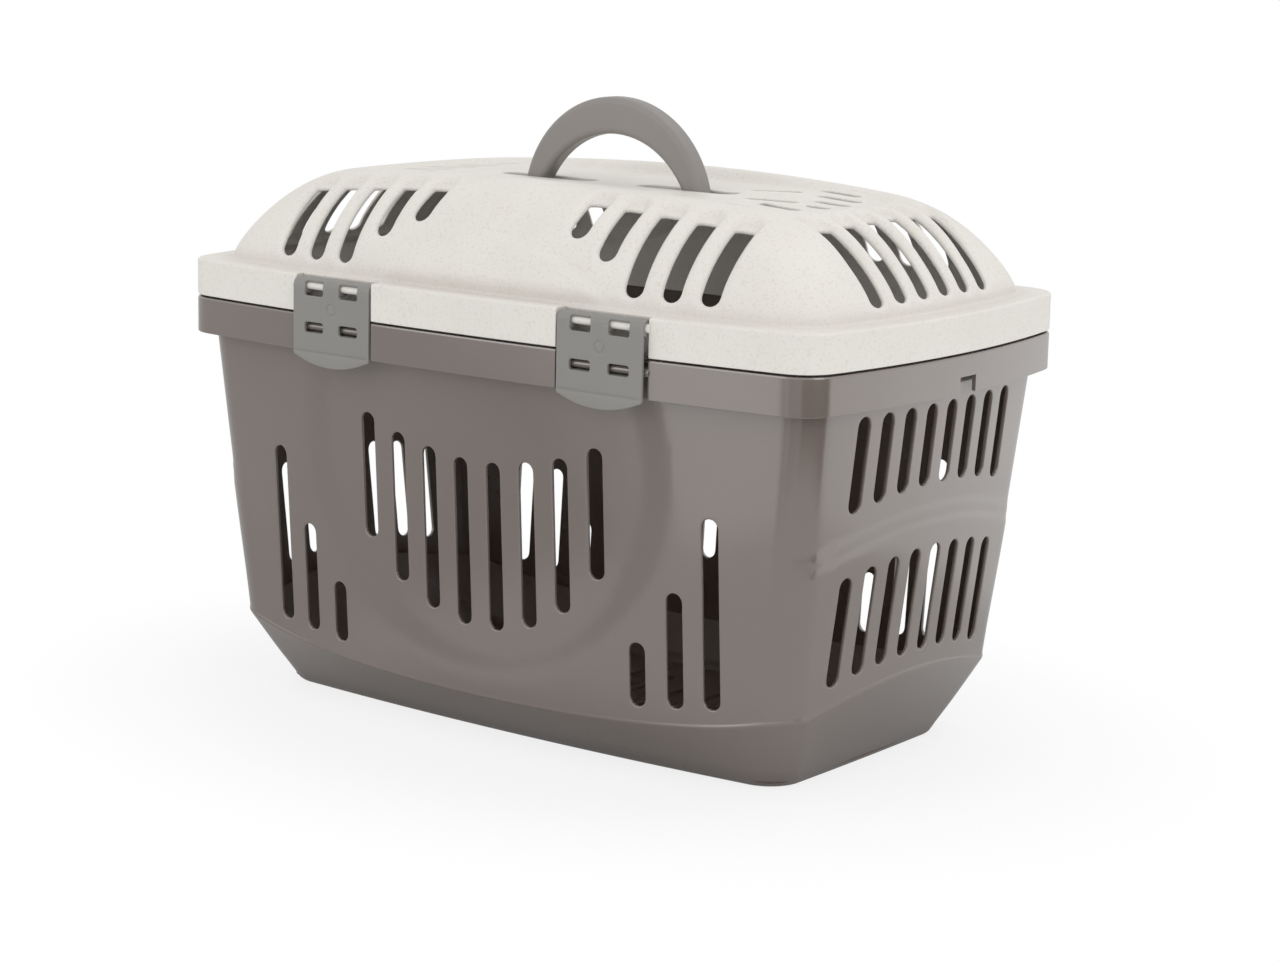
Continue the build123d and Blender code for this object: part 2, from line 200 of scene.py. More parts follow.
def smooth(value, low, high):
    t = np.clip((value - low) / (high - low), 0, 1)
    return t * t * (3 - 2 * t)


def softMin(a, b, radius):
    h = np.clip(0.5 + 0.5 * (b - a) / radius, 0, 1)
    return b * (1 - h) + a * h - radius * h * (1 - h)


def bowedArcs(halfX, halfY, bowX, bowY, corner):
    # A rectangle whose sides bow outwards: centre and radius of the front, end and corner arcs of a quarter
    cornerX, cornerY = halfX - bowX, halfY - bowY
    frontRadius = (cornerX ** 2 + bowY ** 2) / (2 * bowY)
    endRadius = (cornerY ** 2 + bowX ** 2) / (2 * bowX)
    front = np.stack(np.broadcast_arrays(0.0 * frontRadius, frontRadius - halfY), -1)
    end = np.stack(np.broadcast_arrays(halfX - endRadius, 0.0 * endRadius), -1)
    apart = end - front
    gap = np.hypot(apart[..., 0], apart[..., 1])
    along = ((frontRadius - corner) ** 2 - (endRadius - corner) ** 2 + gap ** 2) / (2 * gap)
    off = np.sqrt((frontRadius - corner) ** 2 - along ** 2)
    unit = apart / gap[..., None]
    square = np.stack([-unit[..., 1], unit[..., 0]], -1)
    turn = front + along[..., None] * unit + off[..., None] * square
    return (front, frontRadius), (end, endRadius), (turn, corner)


def cross2(a, b):
    return a[..., 0] * b[..., 1] - a[..., 1] * b[..., 0]


def reach(start, way, arcs):
    # How far a ray from the skeleton runs until it meets the bowed outline
    start = np.stack([np.abs(start[..., 0]), -np.abs(start[..., 1])], -1)
    way = np.stack([np.abs(way[..., 0]), -np.abs(way[..., 1])], -1)
    runs = []
    for centre, radius in arcs:
        to = centre - start
        ahead = (to * way).sum(-1)
        left = ahead ** 2 - (to ** 2).sum(-1) + radius ** 2
        runs.append((ahead + np.sqrt(np.maximum(left, 0)), left >= 0))
    (front, _), (end, _), (turn, _) = arcs
    spot = start + way * runs[2][0][..., None] - turn
    onCorner = runs[2][1] & (cross2(turn - front, spot) >= 0) & (cross2(spot, turn - end) >= 0)
    return np.where(onCorner, runs[2][0], np.minimum(runs[0][0], runs[1][0]))


def skeleton(u, span, spineX, spineY):
    # The loop runs along the front, right end, back and left end, with a corner after each.
    # Gives the point on the inner spine and the level direction outwards
    longRun, endRun, cornerRun = span
    marks = np.cumsum([0] + [2 * longRun, cornerRun, 2 * endRun, cornerRun] * 2)
    u = np.mod(u, marks[-1])
    zone = np.clip(np.searchsorted(marks, u, side="right") - 1, 0, 7)
    part = (u - marks[zone]) / np.diff(marks)[zone]
    side, isCorner = zone // 2, zone % 2 == 1
    across = np.where(isCorner, 1.0, 2 * part - 1)
    angle = (side + np.where(isCorner, part, 0)) * math.pi / 2
    x = np.choose(side, [across, 1 + 0 * across, -across, -1 + 0 * across]) * spineX
    y = np.choose(side, [-1 + 0 * across, across, 1 + 0 * across, -across]) * spineY
    return np.stack([x, y], -1), np.stack([np.sin(angle), -np.cos(angle)], -1)


def sideMarks(span):
    # Where each side's middle lies along the loop, with the sense in which its x or y runs
    longRun, endRun, cornerRun = span
    quarter = longRun + cornerRun + endRun
    return {"front": (longRun, 1), "right": (longRun + quarter, 1),
            "back": (longRun + 2 * quarter, -1), "left": (longRun + 3 * quarter, -1)}


def onSide(span, side, across):
    middle, sense = sideMarks(span)[side]
    return middle + sense * across


def inward(skin, u, v, depth):
    # The skin moved in along its own normal
    e = 0.4
    alongU = skin(u + e, v) - skin(u - e, v)
    alongV = skin(u, v + e) - skin(u, v - e)
    normal = np.cross(alongU, alongV)
    normal /= np.linalg.norm(normal, axis=-1, keepdims=True)
    return skin(u, v) - normal * np.asarray(depth)[..., None]


def slotFrame(slot):
    u0, v0, u1, v1, half = slot[:5]
    topRadius = slot[5] if len(slot) > 5 else half
    footRadius = slot[6] if len(slot) > 6 else half
    length = math.hypot(u1 - u0, v1 - v0)
    ahead = np.array([(u1 - u0) / length, (v1 - v0) / length])
    beside = np.array([ahead[1], -ahead[0]])
    return np.array([(u0 + u1) / 2, (v0 + v1) / 2]), ahead, beside, length, half, topRadius, footRadius


def stadium(slot, grow, sideStep=5.0, capSteps=4):
    # Outline of a slot in loop and height coordinates: round at its start, rounded or squarer at its end
    middle, ahead, beside, length, half, topRadius, footRadius = slotFrame(slot)
    points = []
    for sign, end, radius, first in ((1, -1, footRadius, -90), (1, 1, topRadius, 0), (-1, 1, topRadius, 90),
                                     (-1, -1, footRadius, 180)):
        along, across = end * (length / 2 - radius), sign * (half - radius)
        for i in range(capSteps + 1):
            a = math.radians(first + 90 * i / capSteps)
            points.append((along + (radius + grow) * math.sin(a), across + (radius + grow) * math.cos(a)))
    kept = []
    for a, b in zip(points, points[1:] + points[:1]):
        kept.append(a)
        along, across = b[0] - a[0], b[1] - a[1]
        gap = math.hypot(along, across)
        if gap < 1e-6:
            kept.pop()
        for i in range(1, int(gap / sideStep) + 1):
            if i * sideStep < gap - 1.0:
                share = i * sideStep / gap
                kept.append((a[0] + along * share, a[1] + across * share))
    return np.array([middle + ahead * p + beside * q for p, q in kept])


def slotDistance(points, slot):
    # How far points lie outside a slot; less than nothing inside it
    middle, ahead, beside, length, half, topRadius, footRadius = slotFrame(slot)
    along, across = (points - middle) @ ahead, np.abs((points - middle) @ beside)
    radius = np.where(along > 0, topRadius, footRadius)
    past = np.stack([np.abs(along) - length / 2 + radius, across - half + radius], -1)
    return np.minimum(past.max(-1), 0) + np.linalg.norm(np.maximum(past, 0), axis=-1) - radius


def insideLoop(points, loop):
    # Even-odd test of points against a closed outline
    after = np.roll(loop, -1, axis=0)
    found = np.zeros(len(points), bool)
    for (x0, y0), (x1, y1) in zip(loop, after):
        crosses = (y0 > points[:, 1]) != (y1 > points[:, 1])
        if crosses.any():
            found ^= crosses & (points[:, 0] < (x1 - x0) * (points[:, 1] - y0) / (y1 - y0 + 1e-12) + x0)
    return found


class Mould:
    # Gathers points and faces, and welds them into one mesh
    def __init__(self):
        self.points, self.faces, self.count, self.inner, self.isInner = [], [], 0, [], False

    def add(self, points, faces):
        points = np.asarray(points, float).reshape(-1, 3)
        self.points.append(points)
        self.inner += [self.isInner] * len(faces)
        self.faces += [[i + self.count for i in face] for face in faces]
        self.count += len(points)

    def strip(self, rows, closed=True):
        # rows is a list of equal rings of points; neighbours are joined by four-sided faces
        rows = np.asarray(rows)
        rings, n = rows.shape[:2]
        last = n if closed else n - 1
        self.add(rows, [[r * n + i, r * n + (i + 1) % n, (r + 1) * n + (i + 1) % n, (r + 1) * n + i]
                        for r in range(rings - 1) for i in range(last)])

    def cap(self, ring):
        self.add(ring, [list(range(len(ring)))])

    def perforated(self, skin, outer, slots, grid, wall, edge, back=0.8):
        # A wall of even thickness with slots through it, every slot's lip rounded on both faces
        self.pierced(skin, outer, slots, grid, edge, wall)
        shrink = 1 - math.sqrt(0.5)
        for slot in slots:
            rows = []
            for grow, depth in ((edge, 0), (edge * 0.62, edge * 0.08), (edge * shrink, edge * shrink),
                                (edge * 0.08, edge * 0.62), (0, edge), (0, wall - back),
                                (back * shrink, wall - back * shrink), (back, wall), (edge, wall)):
                ring = stadium(slot, grow)
                rows.append(inward(skin, ring[:, 0], ring[:, 1], np.full(len(ring), depth)))
            self.strip(rows)

    def pierced(self, skin, outer, slots, grid, edge, wall):
        # The two faces of such a wall
        corners = [Vector(p) for p in outer]
        edges = [(i, (i + 1) % len(outer)) for i in range(len(outer))]
        for slot in slots:
            ring = stadium(slot, edge)
            first = len(corners)
            corners += [Vector(p) for p in ring]
            edges += [(first + i, first + (i + 1) % len(ring)) for i in range(len(ring))]
        keep = np.ones(len(grid), bool)
        for slot in slots:
            keep &= slotDistance(grid, slot) > edge + 1.2
        corners += [Vector(p) for p in grid[keep]]
        flat, _, triangles, _, _, _ = delaunay_2d_cdt(corners, edges, [], 1, 1e-6, False)
        flat = np.array([tuple(p) for p in flat])
        triangles = np.array([list(t) for t in triangles])
        middle = flat[triangles].mean(1)
        solid = insideLoop(middle, np.array([tuple(p) for p in outer]))
        for slot in slots:
            near = np.flatnonzero(slotDistance(middle, slot) < edge + 0.5)
            solid[near] &= ~insideLoop(middle[near], stadium(slot, edge))
        triangles = triangles[solid]
        u, v = flat[:, 0], flat[:, 1]
        self.add(skin(u, v), triangles.tolist())
        self.isInner = True
        self.add(inward(skin, u, v, np.full(len(u), wall)), triangles[:, ::-1].tolist())
        self.isInner = False

    def finish(self, name, body, node, finish, slotName, inside=None, sharp=38, weld=0.22):
        mesh = bpy.data.meshes.new(name)
        mesh.from_pydata((np.concatenate(self.points) * mm).tolist(), [], self.faces)
        mesh.polygons.foreach_set("material_index", [int(i) for i in self.inner])
        work = bmesh.new()
        work.from_mesh(mesh)
        bmesh.ops.remove_doubles(work, verts=work.verts, dist=0.012 * mm)
        bmesh.ops.dissolve_degenerate(work, edges=work.edges, dist=0.004 * mm)
        bmesh.ops.recalc_face_normals(work, faces=work.faces)
        # taken in the mesh's own order, so that every run welds the same way
        seams = [v for v in work.verts if any(len(e.link_faces) == 1 for e in v.link_edges)]
        bmesh.ops.remove_doubles(work, verts=seams, dist=weld * mm)
        openEdges = sum(1 for e in work.edges if len(e.link_faces) != 2)
        work.to_mesh(mesh)
        work.free()
        made = bpy.data.objects.new(name, mesh)
        bpy.context.scene.collection.objects.link(made)
        mesh.shade_smooth()
        mesh.set_sharp_from_angle(angle=math.radians(sharp))
        even = made.modifiers.new("evenShading", "WEIGHTED_NORMAL")
        even.keep_sharp = True
        mesh.materials.append(materials[finish])
        # inner faces can take a second material: for the tub, a darker copy of its plastic as painted shade
        # on the inside
        if any(self.inner):
            mesh.materials.append(materials[inside or finish])
        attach(made, body)
        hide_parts(node)
        print(name, "faces", len(mesh.polygons), "open edges", openEdges)
        return made


def roundBar(mould, x0, x1, y, z, radius, around=20):
    # A moulded cross bar along x, with slightly rounded ends
    rows = []
    for x, r in ((x0, 0.6), (x0 + 0.2, 0.9), (x0 + 0.5, 1.0), (x1 - 0.5, 1.0), (x1 - 0.2, 0.9), (x1, 0.6)):
        angles = [2 * math.pi * i / around for i in range(around)]
        rows.append([(x, y + radius * r * math.cos(a), z + radius * r * math.sin(a)) for a in angles])
    mould.strip(rows)
    mould.cap(rows[0])
    mould.cap(rows[-1])


# Sizes shared by tub and lid
rim = {"halfX": 245.0, "halfY": 144.94, "bowX": 13.9, "bowY": 14.0, "corner": 23.7}
pockets = {"offset": 100.0, "half": 31.2, "cheek": 2.0, "floorY": 134.6, "barRoot": 0.7}


def pocketEdges():
    return [s * pockets["offset"] + t * w for s in (-1, 1) for t in (-1, 1)
            for w in (pockets["half"], pockets["half"] + pockets["cheek"])]


def pocketBars(mould, away, height, radius):
    # The four bars that the clips hang on or snap to, each rooted in its pocket's cheeks
    reachX = pockets["half"] + pockets["barRoot"]
    for x in (-pockets["offset"], pockets["offset"]):
        for y in (-away, away):
            roundBar(mould, x - reachX, x + reachX, y, height, radius)


def rimArcs(inset):
    one = np.ones(1)
    return bowedArcs((rim["halfX"] - inset) * one, (rim["halfY"] - inset) * one, rim["bowX"] * one,
                     rim["bowY"] * one, (rim["corner"] - inset) * one)


def pocketKind(x, isLong):
    # Open pocket, cheek beside a pocket, or plain rim
    away = abs(abs(x) - pockets["offset"])
    if isLong and away < pockets["half"]:
        return "pocket"
    if isLong and away < pockets["half"] + pockets["cheek"]:
        return "cheek"
    return "plain"


tub = {
    "span": (176.0, 84.0, 84.0), "footSpine": (150.0, 58.0), "spineRise": 42.0,
    "wallTop": 244.6, "halfX": 237.3, "halfY": 135.7, "leanX": 0.10, "leanY": 0.06,
    "bowX": 9.8, "bowY": 14.4, "corner": 22.0,
    "footX": 190.0, "footY": 95.2, "footBowX": 1.0, "footBowY": 8.6, "footCorner": 22.0,
    "flareHeight": 72.0, "flareX": 36.0, "flareY": 70.0, "flareBowX": 4.0, "flareBowY": 46.0,
    "flareCorner": 27.0,
    "crease": 0.9, "bead": 0.7, "beadEdge": 1.6, "wall": 2.4, "lip": 0.8, "step": 4.0,
    "cornerSteps": 40, "bellyBand": 3.5, "panelTop": 221.0, "skirtBottom": 222.3,
    "notch": (8.0, 17.0, 9.5),                       # place along the end, width, height
    "discHeight": 176.3, "discRadius": 128.0, "discDepth": 2.0, "discEdge": 24.0,
    "arches": (156.6, 147.4), "archSag": 0.00146, "archStep": 0.6, "archEdge": 2.4, "archFade": 80.0,
    "slotWidth": 10.4, "middlePitch": 24.4, "middleTops": (170.5, 173.8, 179.2, 188.1),
    "middleRadius": 107.0, "middleBottom": 69.4,
    "sideSlots": ((161.9, 157.7, 47.5), (138.2, 112.0, 44.7), (113.2, 79.5, 42.0)),
    "endPitch": 21.3, "endCount": 8, "endSag": 0.0013, "endUpper": (169.7, 217.1), "endLower": (69.4, 132.9),
    "floorTop": 2.4, "bars": 13, "barPitch": 24.0, "barHalf": 70.0, "barWidth": 4.0, "barHeight": 2.0,
    "catchY": 139.8, "catchZ": 237.5, "catchRadius": 2.3,
}


def tubRay(u, z):
    rise = smooth(z, 0, tub["spineRise"])
    spineX = tub["footSpine"][0] + (tub["span"][0] - tub["footSpine"][0]) * rise
    spineY = tub["footSpine"][1] + (tub["span"][1] - tub["footSpine"][1]) * rise
    return skeleton(u, tub["span"], spineX, spineY)


def wallReach(start, way, z):
    drop = tub["wallTop"] - z
    halfX, halfY = tub["halfX"] - tub["leanX"] * drop, tub["halfY"] - tub["leanY"] * drop
    return reach(start, way, bowedArcs(halfX, halfY, tub["bowX"], tub["bowY"], tub["corner"]))


def flareReach(start, way, z):
    share = z / tub["flareHeight"]
    bowX = tub["footBowX"] + (tub["flareBowX"] - tub["footBowX"]) * share
    bowY = tub["footBowY"] + (tub["flareBowY"] - tub["footBowY"]) * share
    corner = tub["footCorner"] + (tub["flareCorner"] - tub["footCorner"]) * share
    halfX, halfY = tub["footX"] + tub["flareX"] * share, tub["footY"] + tub["flareY"] * share
    return reach(start, way, bowedArcs(halfX, halfY, bowX, bowY, corner))


def tubRelief(x, y, z, way):
    # Round sunk panel on the long sides, and the soft step that arches across the ends
    long = np.abs(way[..., 1]) ** 4
    out = np.hypot(x, z - tub["discHeight"]) - tub["discRadius"]
    inside = 1 - smooth(out, -tub["discEdge"] / 2, tub["discEdge"] / 2)
    disc = -tub["discDepth"] * inside * long * smooth(z, 30, 48)
    end = smooth(np.abs(way[..., 0]), 0.45, 0.95)
    height = z + tub["archSag"] * y ** 2
    below = sum(1 - smooth(height, z0 - tub["archEdge"], z0 + tub["archEdge"]) for z0 in tub["arches"])
    fade = 1 - smooth(tub["arches"][1] - height, 0, tub["archFade"])
    return disc + tub["archStep"] * below * fade * end


def tubSkin(u, z):
    u, z = np.broadcast_arrays(np.asarray(u, float), np.asarray(z, float))
    start, way = tubRay(u, z)
    wallRun, flareRun = wallReach(start, way, z), flareReach(start, way, np.minimum(z, 150.0))
    run = softMin(wallRun, flareRun, tub["crease"])
    flat = start + way * run[..., None]
    # the foot stands out a little under the walls, and that edge draws back towards the floor
    proud = (1 - smooth(flareRun - wallRun, -0.2, tub["beadEdge"])) * smooth(z, 2, 25)
    proud = proud * (0.25 + 0.75 * smooth(np.abs(flat[..., 0]), 80, 185))
    run = run + tubRelief(flat[..., 0], flat[..., 1], z, way) + tub["bead"] * proud
    flat = start + way * run[..., None]
    return np.concatenate([flat, z[..., None]], -1)


def bellyHeight(u):
    low, high = np.full(len(u), 8.0), np.full(len(u), tub["flareHeight"])
    for _ in range(40):
        z = (low + high) / 2
        start, way = tubRay(u, z)
        under = flareReach(start, way, z) < wallReach(start, way, z)
        low, high = np.where(under, z, low), np.where(under, high, z)
    return low


def tubSlots():
    slots = []
    half = tub["slotWidth"] / 2
    for side in ("front", "back"):
        for sign in (-1, 1):
            for step, top in enumerate(tub["middleTops"]):
                x = (step + 0.5) * tub["middlePitch"]
                radius = tub["middleRadius"]
                bottom = tub["middleBottom"] + radius - math.sqrt(radius ** 2 - x ** 2)
                u = onSide(tub["span"], side, sign * x)
                slots.append((u, bottom, u, top, half))
            for x, top, bottom in tub["sideSlots"]:
                u = onSide(tub["span"], side, sign * x)
                slots.append((u, bottom, u, top, half))
    for side in ("right", "left"):
        for step in range(tub["endCount"]):
            y = (step - (tub["endCount"] - 1) / 2) * tub["endPitch"]
            u = onSide(tub["span"], side, y)
            sag = tub["endSag"] * y ** 2
            slots.append((u, tub["endUpper"][0] - sag, u, tub["endUpper"][1], half))
            slots.append((u, tub["endLower"][0] - sag, u, tub["endLower"][1] - sag, half))
    return slots


def loopPlaces(span, step, cornerSteps, longMarks, endMarks):
    # Places around the loop, with a place on each mark
    longRun, endRun, cornerRun = span
    total = 4 * (longRun + endRun + cornerRun)
    places = {0.0}
    for side, run, marks in (("front", longRun, longMarks), ("right", endRun, endMarks),
                             ("back", longRun, longMarks), ("left", endRun, endMarks)):
        steps = round(2 * run / step)
        plain = [-run + 2 * run * i / steps for i in range(steps + 1)]
        plain = [p for p in plain if all(abs(p - m) > 0.9 for m in marks)]
        places |= {round(onSide(span, side, p), 6) for p in plain + list(marks)}
        edge = max(onSide(span, side, run), onSide(span, side, -run))
        places |= {round(edge + cornerRun * i / cornerSteps, 6) for i in range(1, cornerSteps)}
    return np.array(sorted(p for p in places if p < total - 1e-6)), total


def rimColumns(mould, places, total, kindAt, column):
    # Sweeps a profile round the loop, changing it at the pockets and notches
    kinds = []
    for i, u in enumerate(places):
        after = places[i + 1] if i + 1 < len(places) else total
        kinds.append(kindAt((u + after) / 2))
    for i in range(len(places)):
        first, second = column(i, kinds[i]), column((i + 1) % len(places), kinds[i])
        mould.strip([[a, b] for a, b in zip(first, second)], closed=False)
        before = kinds[i - 1]
        if before != kinds[i]:
            other = column(i, before)
            mould.strip([[a, b] for a, b in zip(other, first)], closed=False)


def sideOf(span, u):
    # Which side a loop place is on, or None in a corner, and its place across that side
    for side, (middle, sense) in sideMarks(span).items():
        run = span[0] if side in ("front", "back") else span[1]
        if abs(u - middle) <= run:
            return side, sense * (u - middle)
    return None, 0.0


def makeTub():
    mould = Mould()
    span, wall = tub["span"], tub["wall"]
    notchAt, notchWide, notchTall = tub["notch"]
    notchEdges = [notchAt - notchWide / 2, notchAt + notchWide / 2]
    places, total = loopPlaces(span, tub["step"], tub["cornerSteps"], pocketEdges(), notchEdges)
    belly = bellyHeight(places)
    low = belly + tub["bellyBand"]
    top, panel = tub["wallTop"], tub["panelTop"]
    rows = round((panel - low.min()) / tub["step"])
    share = np.arange(1, rows) / rows
    around = np.append(places, total)
    aroundLow = np.append(low, low[0])
    outer = [(u, z) for u, z in zip(around, aroundLow)]
    outer += [(total, low[0] + (panel - low[0]) * s) for s in share]
    outer += [(u, panel) for u in around[::-1]]
    outer += [(0.0, low[0] + (panel - low[0]) * s) for s in share[::-1]]
    grid = np.array([(u, z0 + (panel - z0) * s) for u, z0 in zip(places[1:], low[1:]) for s in share])
    # closer points where the skin bends: along the two arches of each end and round the sunk disc
    lines = []
    for side in ("right", "left"):
        for y in np.arange(-84, 85, 4.0):
            for z0 in tub["arches"]:
                z = z0 - tub["archSag"] * y ** 2
                lines += [(onSide(span, side, y), z + off) for off in (-3.0, -1.0, 1.0, 3.0)]
    for side in ("front", "back"):
        for a in np.arange(0, 2 * math.pi, 0.031):
            for off in (-10.0, -5.0, 0.0, 5.0, 10.0):
                radius = tub["discRadius"] + off
                x, z = radius * math.sin(a), tub["discHeight"] - radius * math.cos(a)
                if 50 < z < panel - 2:
                    lines.append((onSide(span, side, x), z))
    lines = np.array(lines)
    kept = [p for p in grid if np.abs(lines - p).max(1).min() > 1.5]
    mould.perforated(tubSkin, outer, tubSlots(), np.concatenate([kept, lines]), wall, tub["lip"])
    print("tub walls perforated")

    # foot, from the belly crease down to the floor, outside and inside
    _, way = tubRay(places, np.zeros(len(places)))
    out3 = np.concatenate([way, 0 * way[:, :1]], -1)
    offsets = [tub["bellyBand"], 2.5, 2.0, 1.6, 1.2, 0.8, 0.4, 0.0, -0.4, -0.9, -2.0]
    rowsOut = [tubSkin(places, belly + o) for o in offsets]
    rowsIn = [inward(tubSkin, places, belly + o, np.full(len(places), wall)) for o in offsets]
    for f in (0.85, 0.7, 0.55, 0.4, 0.25, 0.14):
        rowsOut.append(tubSkin(places, (belly - 2.0) * f))
        rowsIn.append(inward(tubSkin, places, (belly - 2.0) * f + 2.0 * (1 - f), np.full(len(places), wall)))
    bottom = tubSkin(places, np.full(len(places), 0.0))
    bottom[:, 2] = 0
    rowsOut.append(tubSkin(places, np.full(len(places), 1.3)))
    for inset, z in ((0.3, 0.45), (0.9, 0.1), (1.8, 0.0), (7.0, 0.0), (8.0, 0.3), (8.6, 0.9)):
        rowsOut.append(bottom - out3 * inset + np.array([0, 0, z]))
    mould.strip(rowsOut)
    mould.cap(rowsOut[-1])
    inner = rowsIn[-1].copy()
    for inset, z in ((0.9, 3.1), (1.7, 2.6), (2.8, tub["floorTop"])):
        ring = inner - out3 * inset
        ring[:, 2] = z
        rowsIn.append(ring)
    mould.isInner = True
    mould.strip(rowsIn)
    mould.cap(rowsIn[-1])
    mould.isInner = False

    # rim: flange, skirt, pockets for the clips and the notches in the ends
    def kindAt(u):
        side, across = sideOf(span, np.mod(u, total))
        if side in ("left", "right") and notchEdges[0] < across < notchEdges[1]:
            return "notch"
        return pocketKind(across, side in ("front", "back")) if side else "plain"

    starts, ways = tubRay(places, np.full(len(places), 100.0))
    insets = (3.2, 3.0, 2.6, 2.4, 2.2, 1.3, 0.6, 0.4, 0.15, 0)
    lipRuns = {inset: reach(starts, ways, rimArcs(inset)) for inset in insets}
    skirtFoot, root, under, shoulder, bend = tub["skirtBottom"], top - 3.2, top - 2.4, top - 1.6, top - 0.8
    outsides = {z: tubSkin(places, z) for z in (panel, root, under, skirtFoot, shoulder)}
    insides = {z: inward(tubSkin, places, z, np.full(len(places), wall)) for z in (top, bend, panel)}

    def column(i, kind):
        d, ground = np.append(ways[i], 0), np.append(starts[i], 0)

        def outside(z, off=0.0):
            return outsides[z][i] + d * off

        def inside(z, off=0.0):
            return insides[z][i] + d * off

        def lip(inset, z):
            p = ground + d * lipRuns[inset][i]
            return np.array([p[0], p[1], z])

        foot = skirtFoot + (notchTall if kind == "notch" else 0)
        innerEnd = [inside(top, 0.8), inside(bend), inside(panel)]
        for p, z in zip(innerEnd, (top, bend, panel)):
            p[2] = z
        if kind == "pocket":
            wide = (pockets["floorY"] - span[1]) / abs(d[1])
            wallRun = np.linalg.norm((outside(shoulder) - ground)[:2])

            def ledge(inset, z):
                p = ground + d * max(wide - inset, wallRun + 0.1)
                return np.array([p[0], p[1], z])

            rest = [ledge(0.5, under)] * 5
            rest += [ledge(0, under + 0.4), ledge(0, bend), ledge(0.2, top - 0.3), ledge(0.6, top)]
            return [outside(panel), outside(root), outside(under, 0.05)] + rest + innerEnd
        skirt = [lip(0.6, foot), lip(0.15, foot + 0.2), lip(0, foot + 0.7), lip(0, top - 1.4),
                 lip(0.4, top - 0.4), lip(1.3, top)]
        if kind == "cheek":
            rest = [outside(skirtFoot), outside(skirtFoot, 0.3)]
            rest += [lip(inset, foot) for inset in (3.0, 2.6, 2.2)]
        else:
            rest = [outside(root), outside(under, 0.8), lip(3.2, under), lip(2.4, root)]
            rest += [lip(2.4, foot + 0.4)]
        return [outside(panel)] + rest + skirt + innerEnd

    rimColumns(mould, places, total, kindAt, column)
    pocketBars(mould, tub["catchY"], tub["catchZ"], tub["catchRadius"])
    # raised bars across the floor
    mould.isInner = True
    floor, width = tub["floorTop"], tub["barWidth"] / 2
    barTop = floor + tub["barHeight"]
    for i in range(tub["bars"]):
        x = (i - (tub["bars"] - 1) / 2) * tub["barPitch"]
        ends = []
        for grow, z in ((0.4, floor - 0.4), (0, floor + 0.5), (0, barTop - 0.6), (-0.6, barTop)):
            ring = stadium((0, -tub["barHalf"] - grow, 0, tub["barHalf"] + grow, width + grow), 0, 12.0, 6)
            ends.append([(x + p[0], p[1], z) for p in ring])
        mould.strip(ends)
        mould.cap(ends[0])
        mould.cap(ends[-1])
    return mould.finish("tubShell", "base", "base_tub", "tubPlastic", "tub_plastic", "tubInside", weld=0.3)


makeTub()

lid = {
    "span": (166.0, 64.0, 84.0), "foot": 267.8, "rise": 61.3, "inset": 56.0, "power": 1.5, "crown": 2.4e-4,
    "halfX": 230.0, "halfY": 131.0, "bowX": 11.2, "bowY": 13.5, "corner": 38.0,
    "spineDraw": (42.0, 54.5), "spineIn": (11.0, 13.0),
    "wall": 2.4, "lip": 1.5, "crownLip": 1.0, "step": 3.0, "cornerSteps": 44,
    "crownGrid": (176, 78), "crownStep": 2.6,
    "panelFoot": 0.03, "panelTop": 0.9995,
    "bandBottom": 245.5, "underside": 265.4, "tubHalfX": 237.3, "tubHalfY": 135.7, "tubCorner": 22.0,
    "tongueGap": 3.2, "tongueWall": 2.0, "tongueBottom": 240.6,
    "cheekInner": 132.2, "barY": 139.8, "barZ": 262.0, "barRadius": 2.6,
    "slotHalf": 5.75, "slotTopRadius": 2.4, "slotTop": (91.0, 320.0),
    # each slot: its x, then the (y, z) of its lower end
    "slots": ((58.6, 114.3, 303.9), (83.1, 120.2, 293.7), (107.6, 127.1, 276.0), (132.1, 126.9, 276.0),
              (156.6, 124.2, 276.0)),
    "endPitch": 22.2, "endCount": 6, "endHalf": 5.25, "endTop": (186.5, 317.5), "endBottom": (227.6, 276.3),
    "scoopDepth": 3.6, "scoopPast": 6.5, "scoopWide": 4.8,
    "swellPeak": 298.0, "swellMiddle": 8.0, "swellFall": 0.0040, "swellHeight": 1.8,
    "recessX": 172.0, "recessY": 68.0, "recessBow": 6.0, "recessCorner": 34.0, "recessFloor": 322.8,
    "recessFall": 3.2, "recessEdge": (-6.0, 2.5),
    "handleSlot": (16.0, 88.0, 7.6), "ventHalf": 4.3, "ventPitch": 21.0, "leftVents": 118.0,
    # on the right: where each vent starts, from the front one to the rear one
    "rightVents": (112.0, 126.0, 145.0, 136.0, 124.0, 112.0), "ventEnds": (140.0, 154.0, 160.0),
    "bossSlots": ((101.5, 21.0), (124.7, -17.4)), "bossTurn": 33.0, "bossHalfLength": 15.5, "bossHalf": 4.0,
    "bossHeight": 1.5, "bossWide": 9.0, "ventLip": 0.8,
}


def domeDraw(h):
    return lid["inset"] * (1 - np.sqrt(np.maximum(1 - h ** lid["power"], 0)))


profileH = 1 - (1 - np.linspace(0, 1, 1200)) ** 3
profileSteps = np.hypot(np.diff(domeDraw(profileH)), lid["rise"] * np.diff(profileH))
profileRun = np.concatenate([[0], np.cumsum(profileSteps)])
domeArc = float(profileRun[-1])


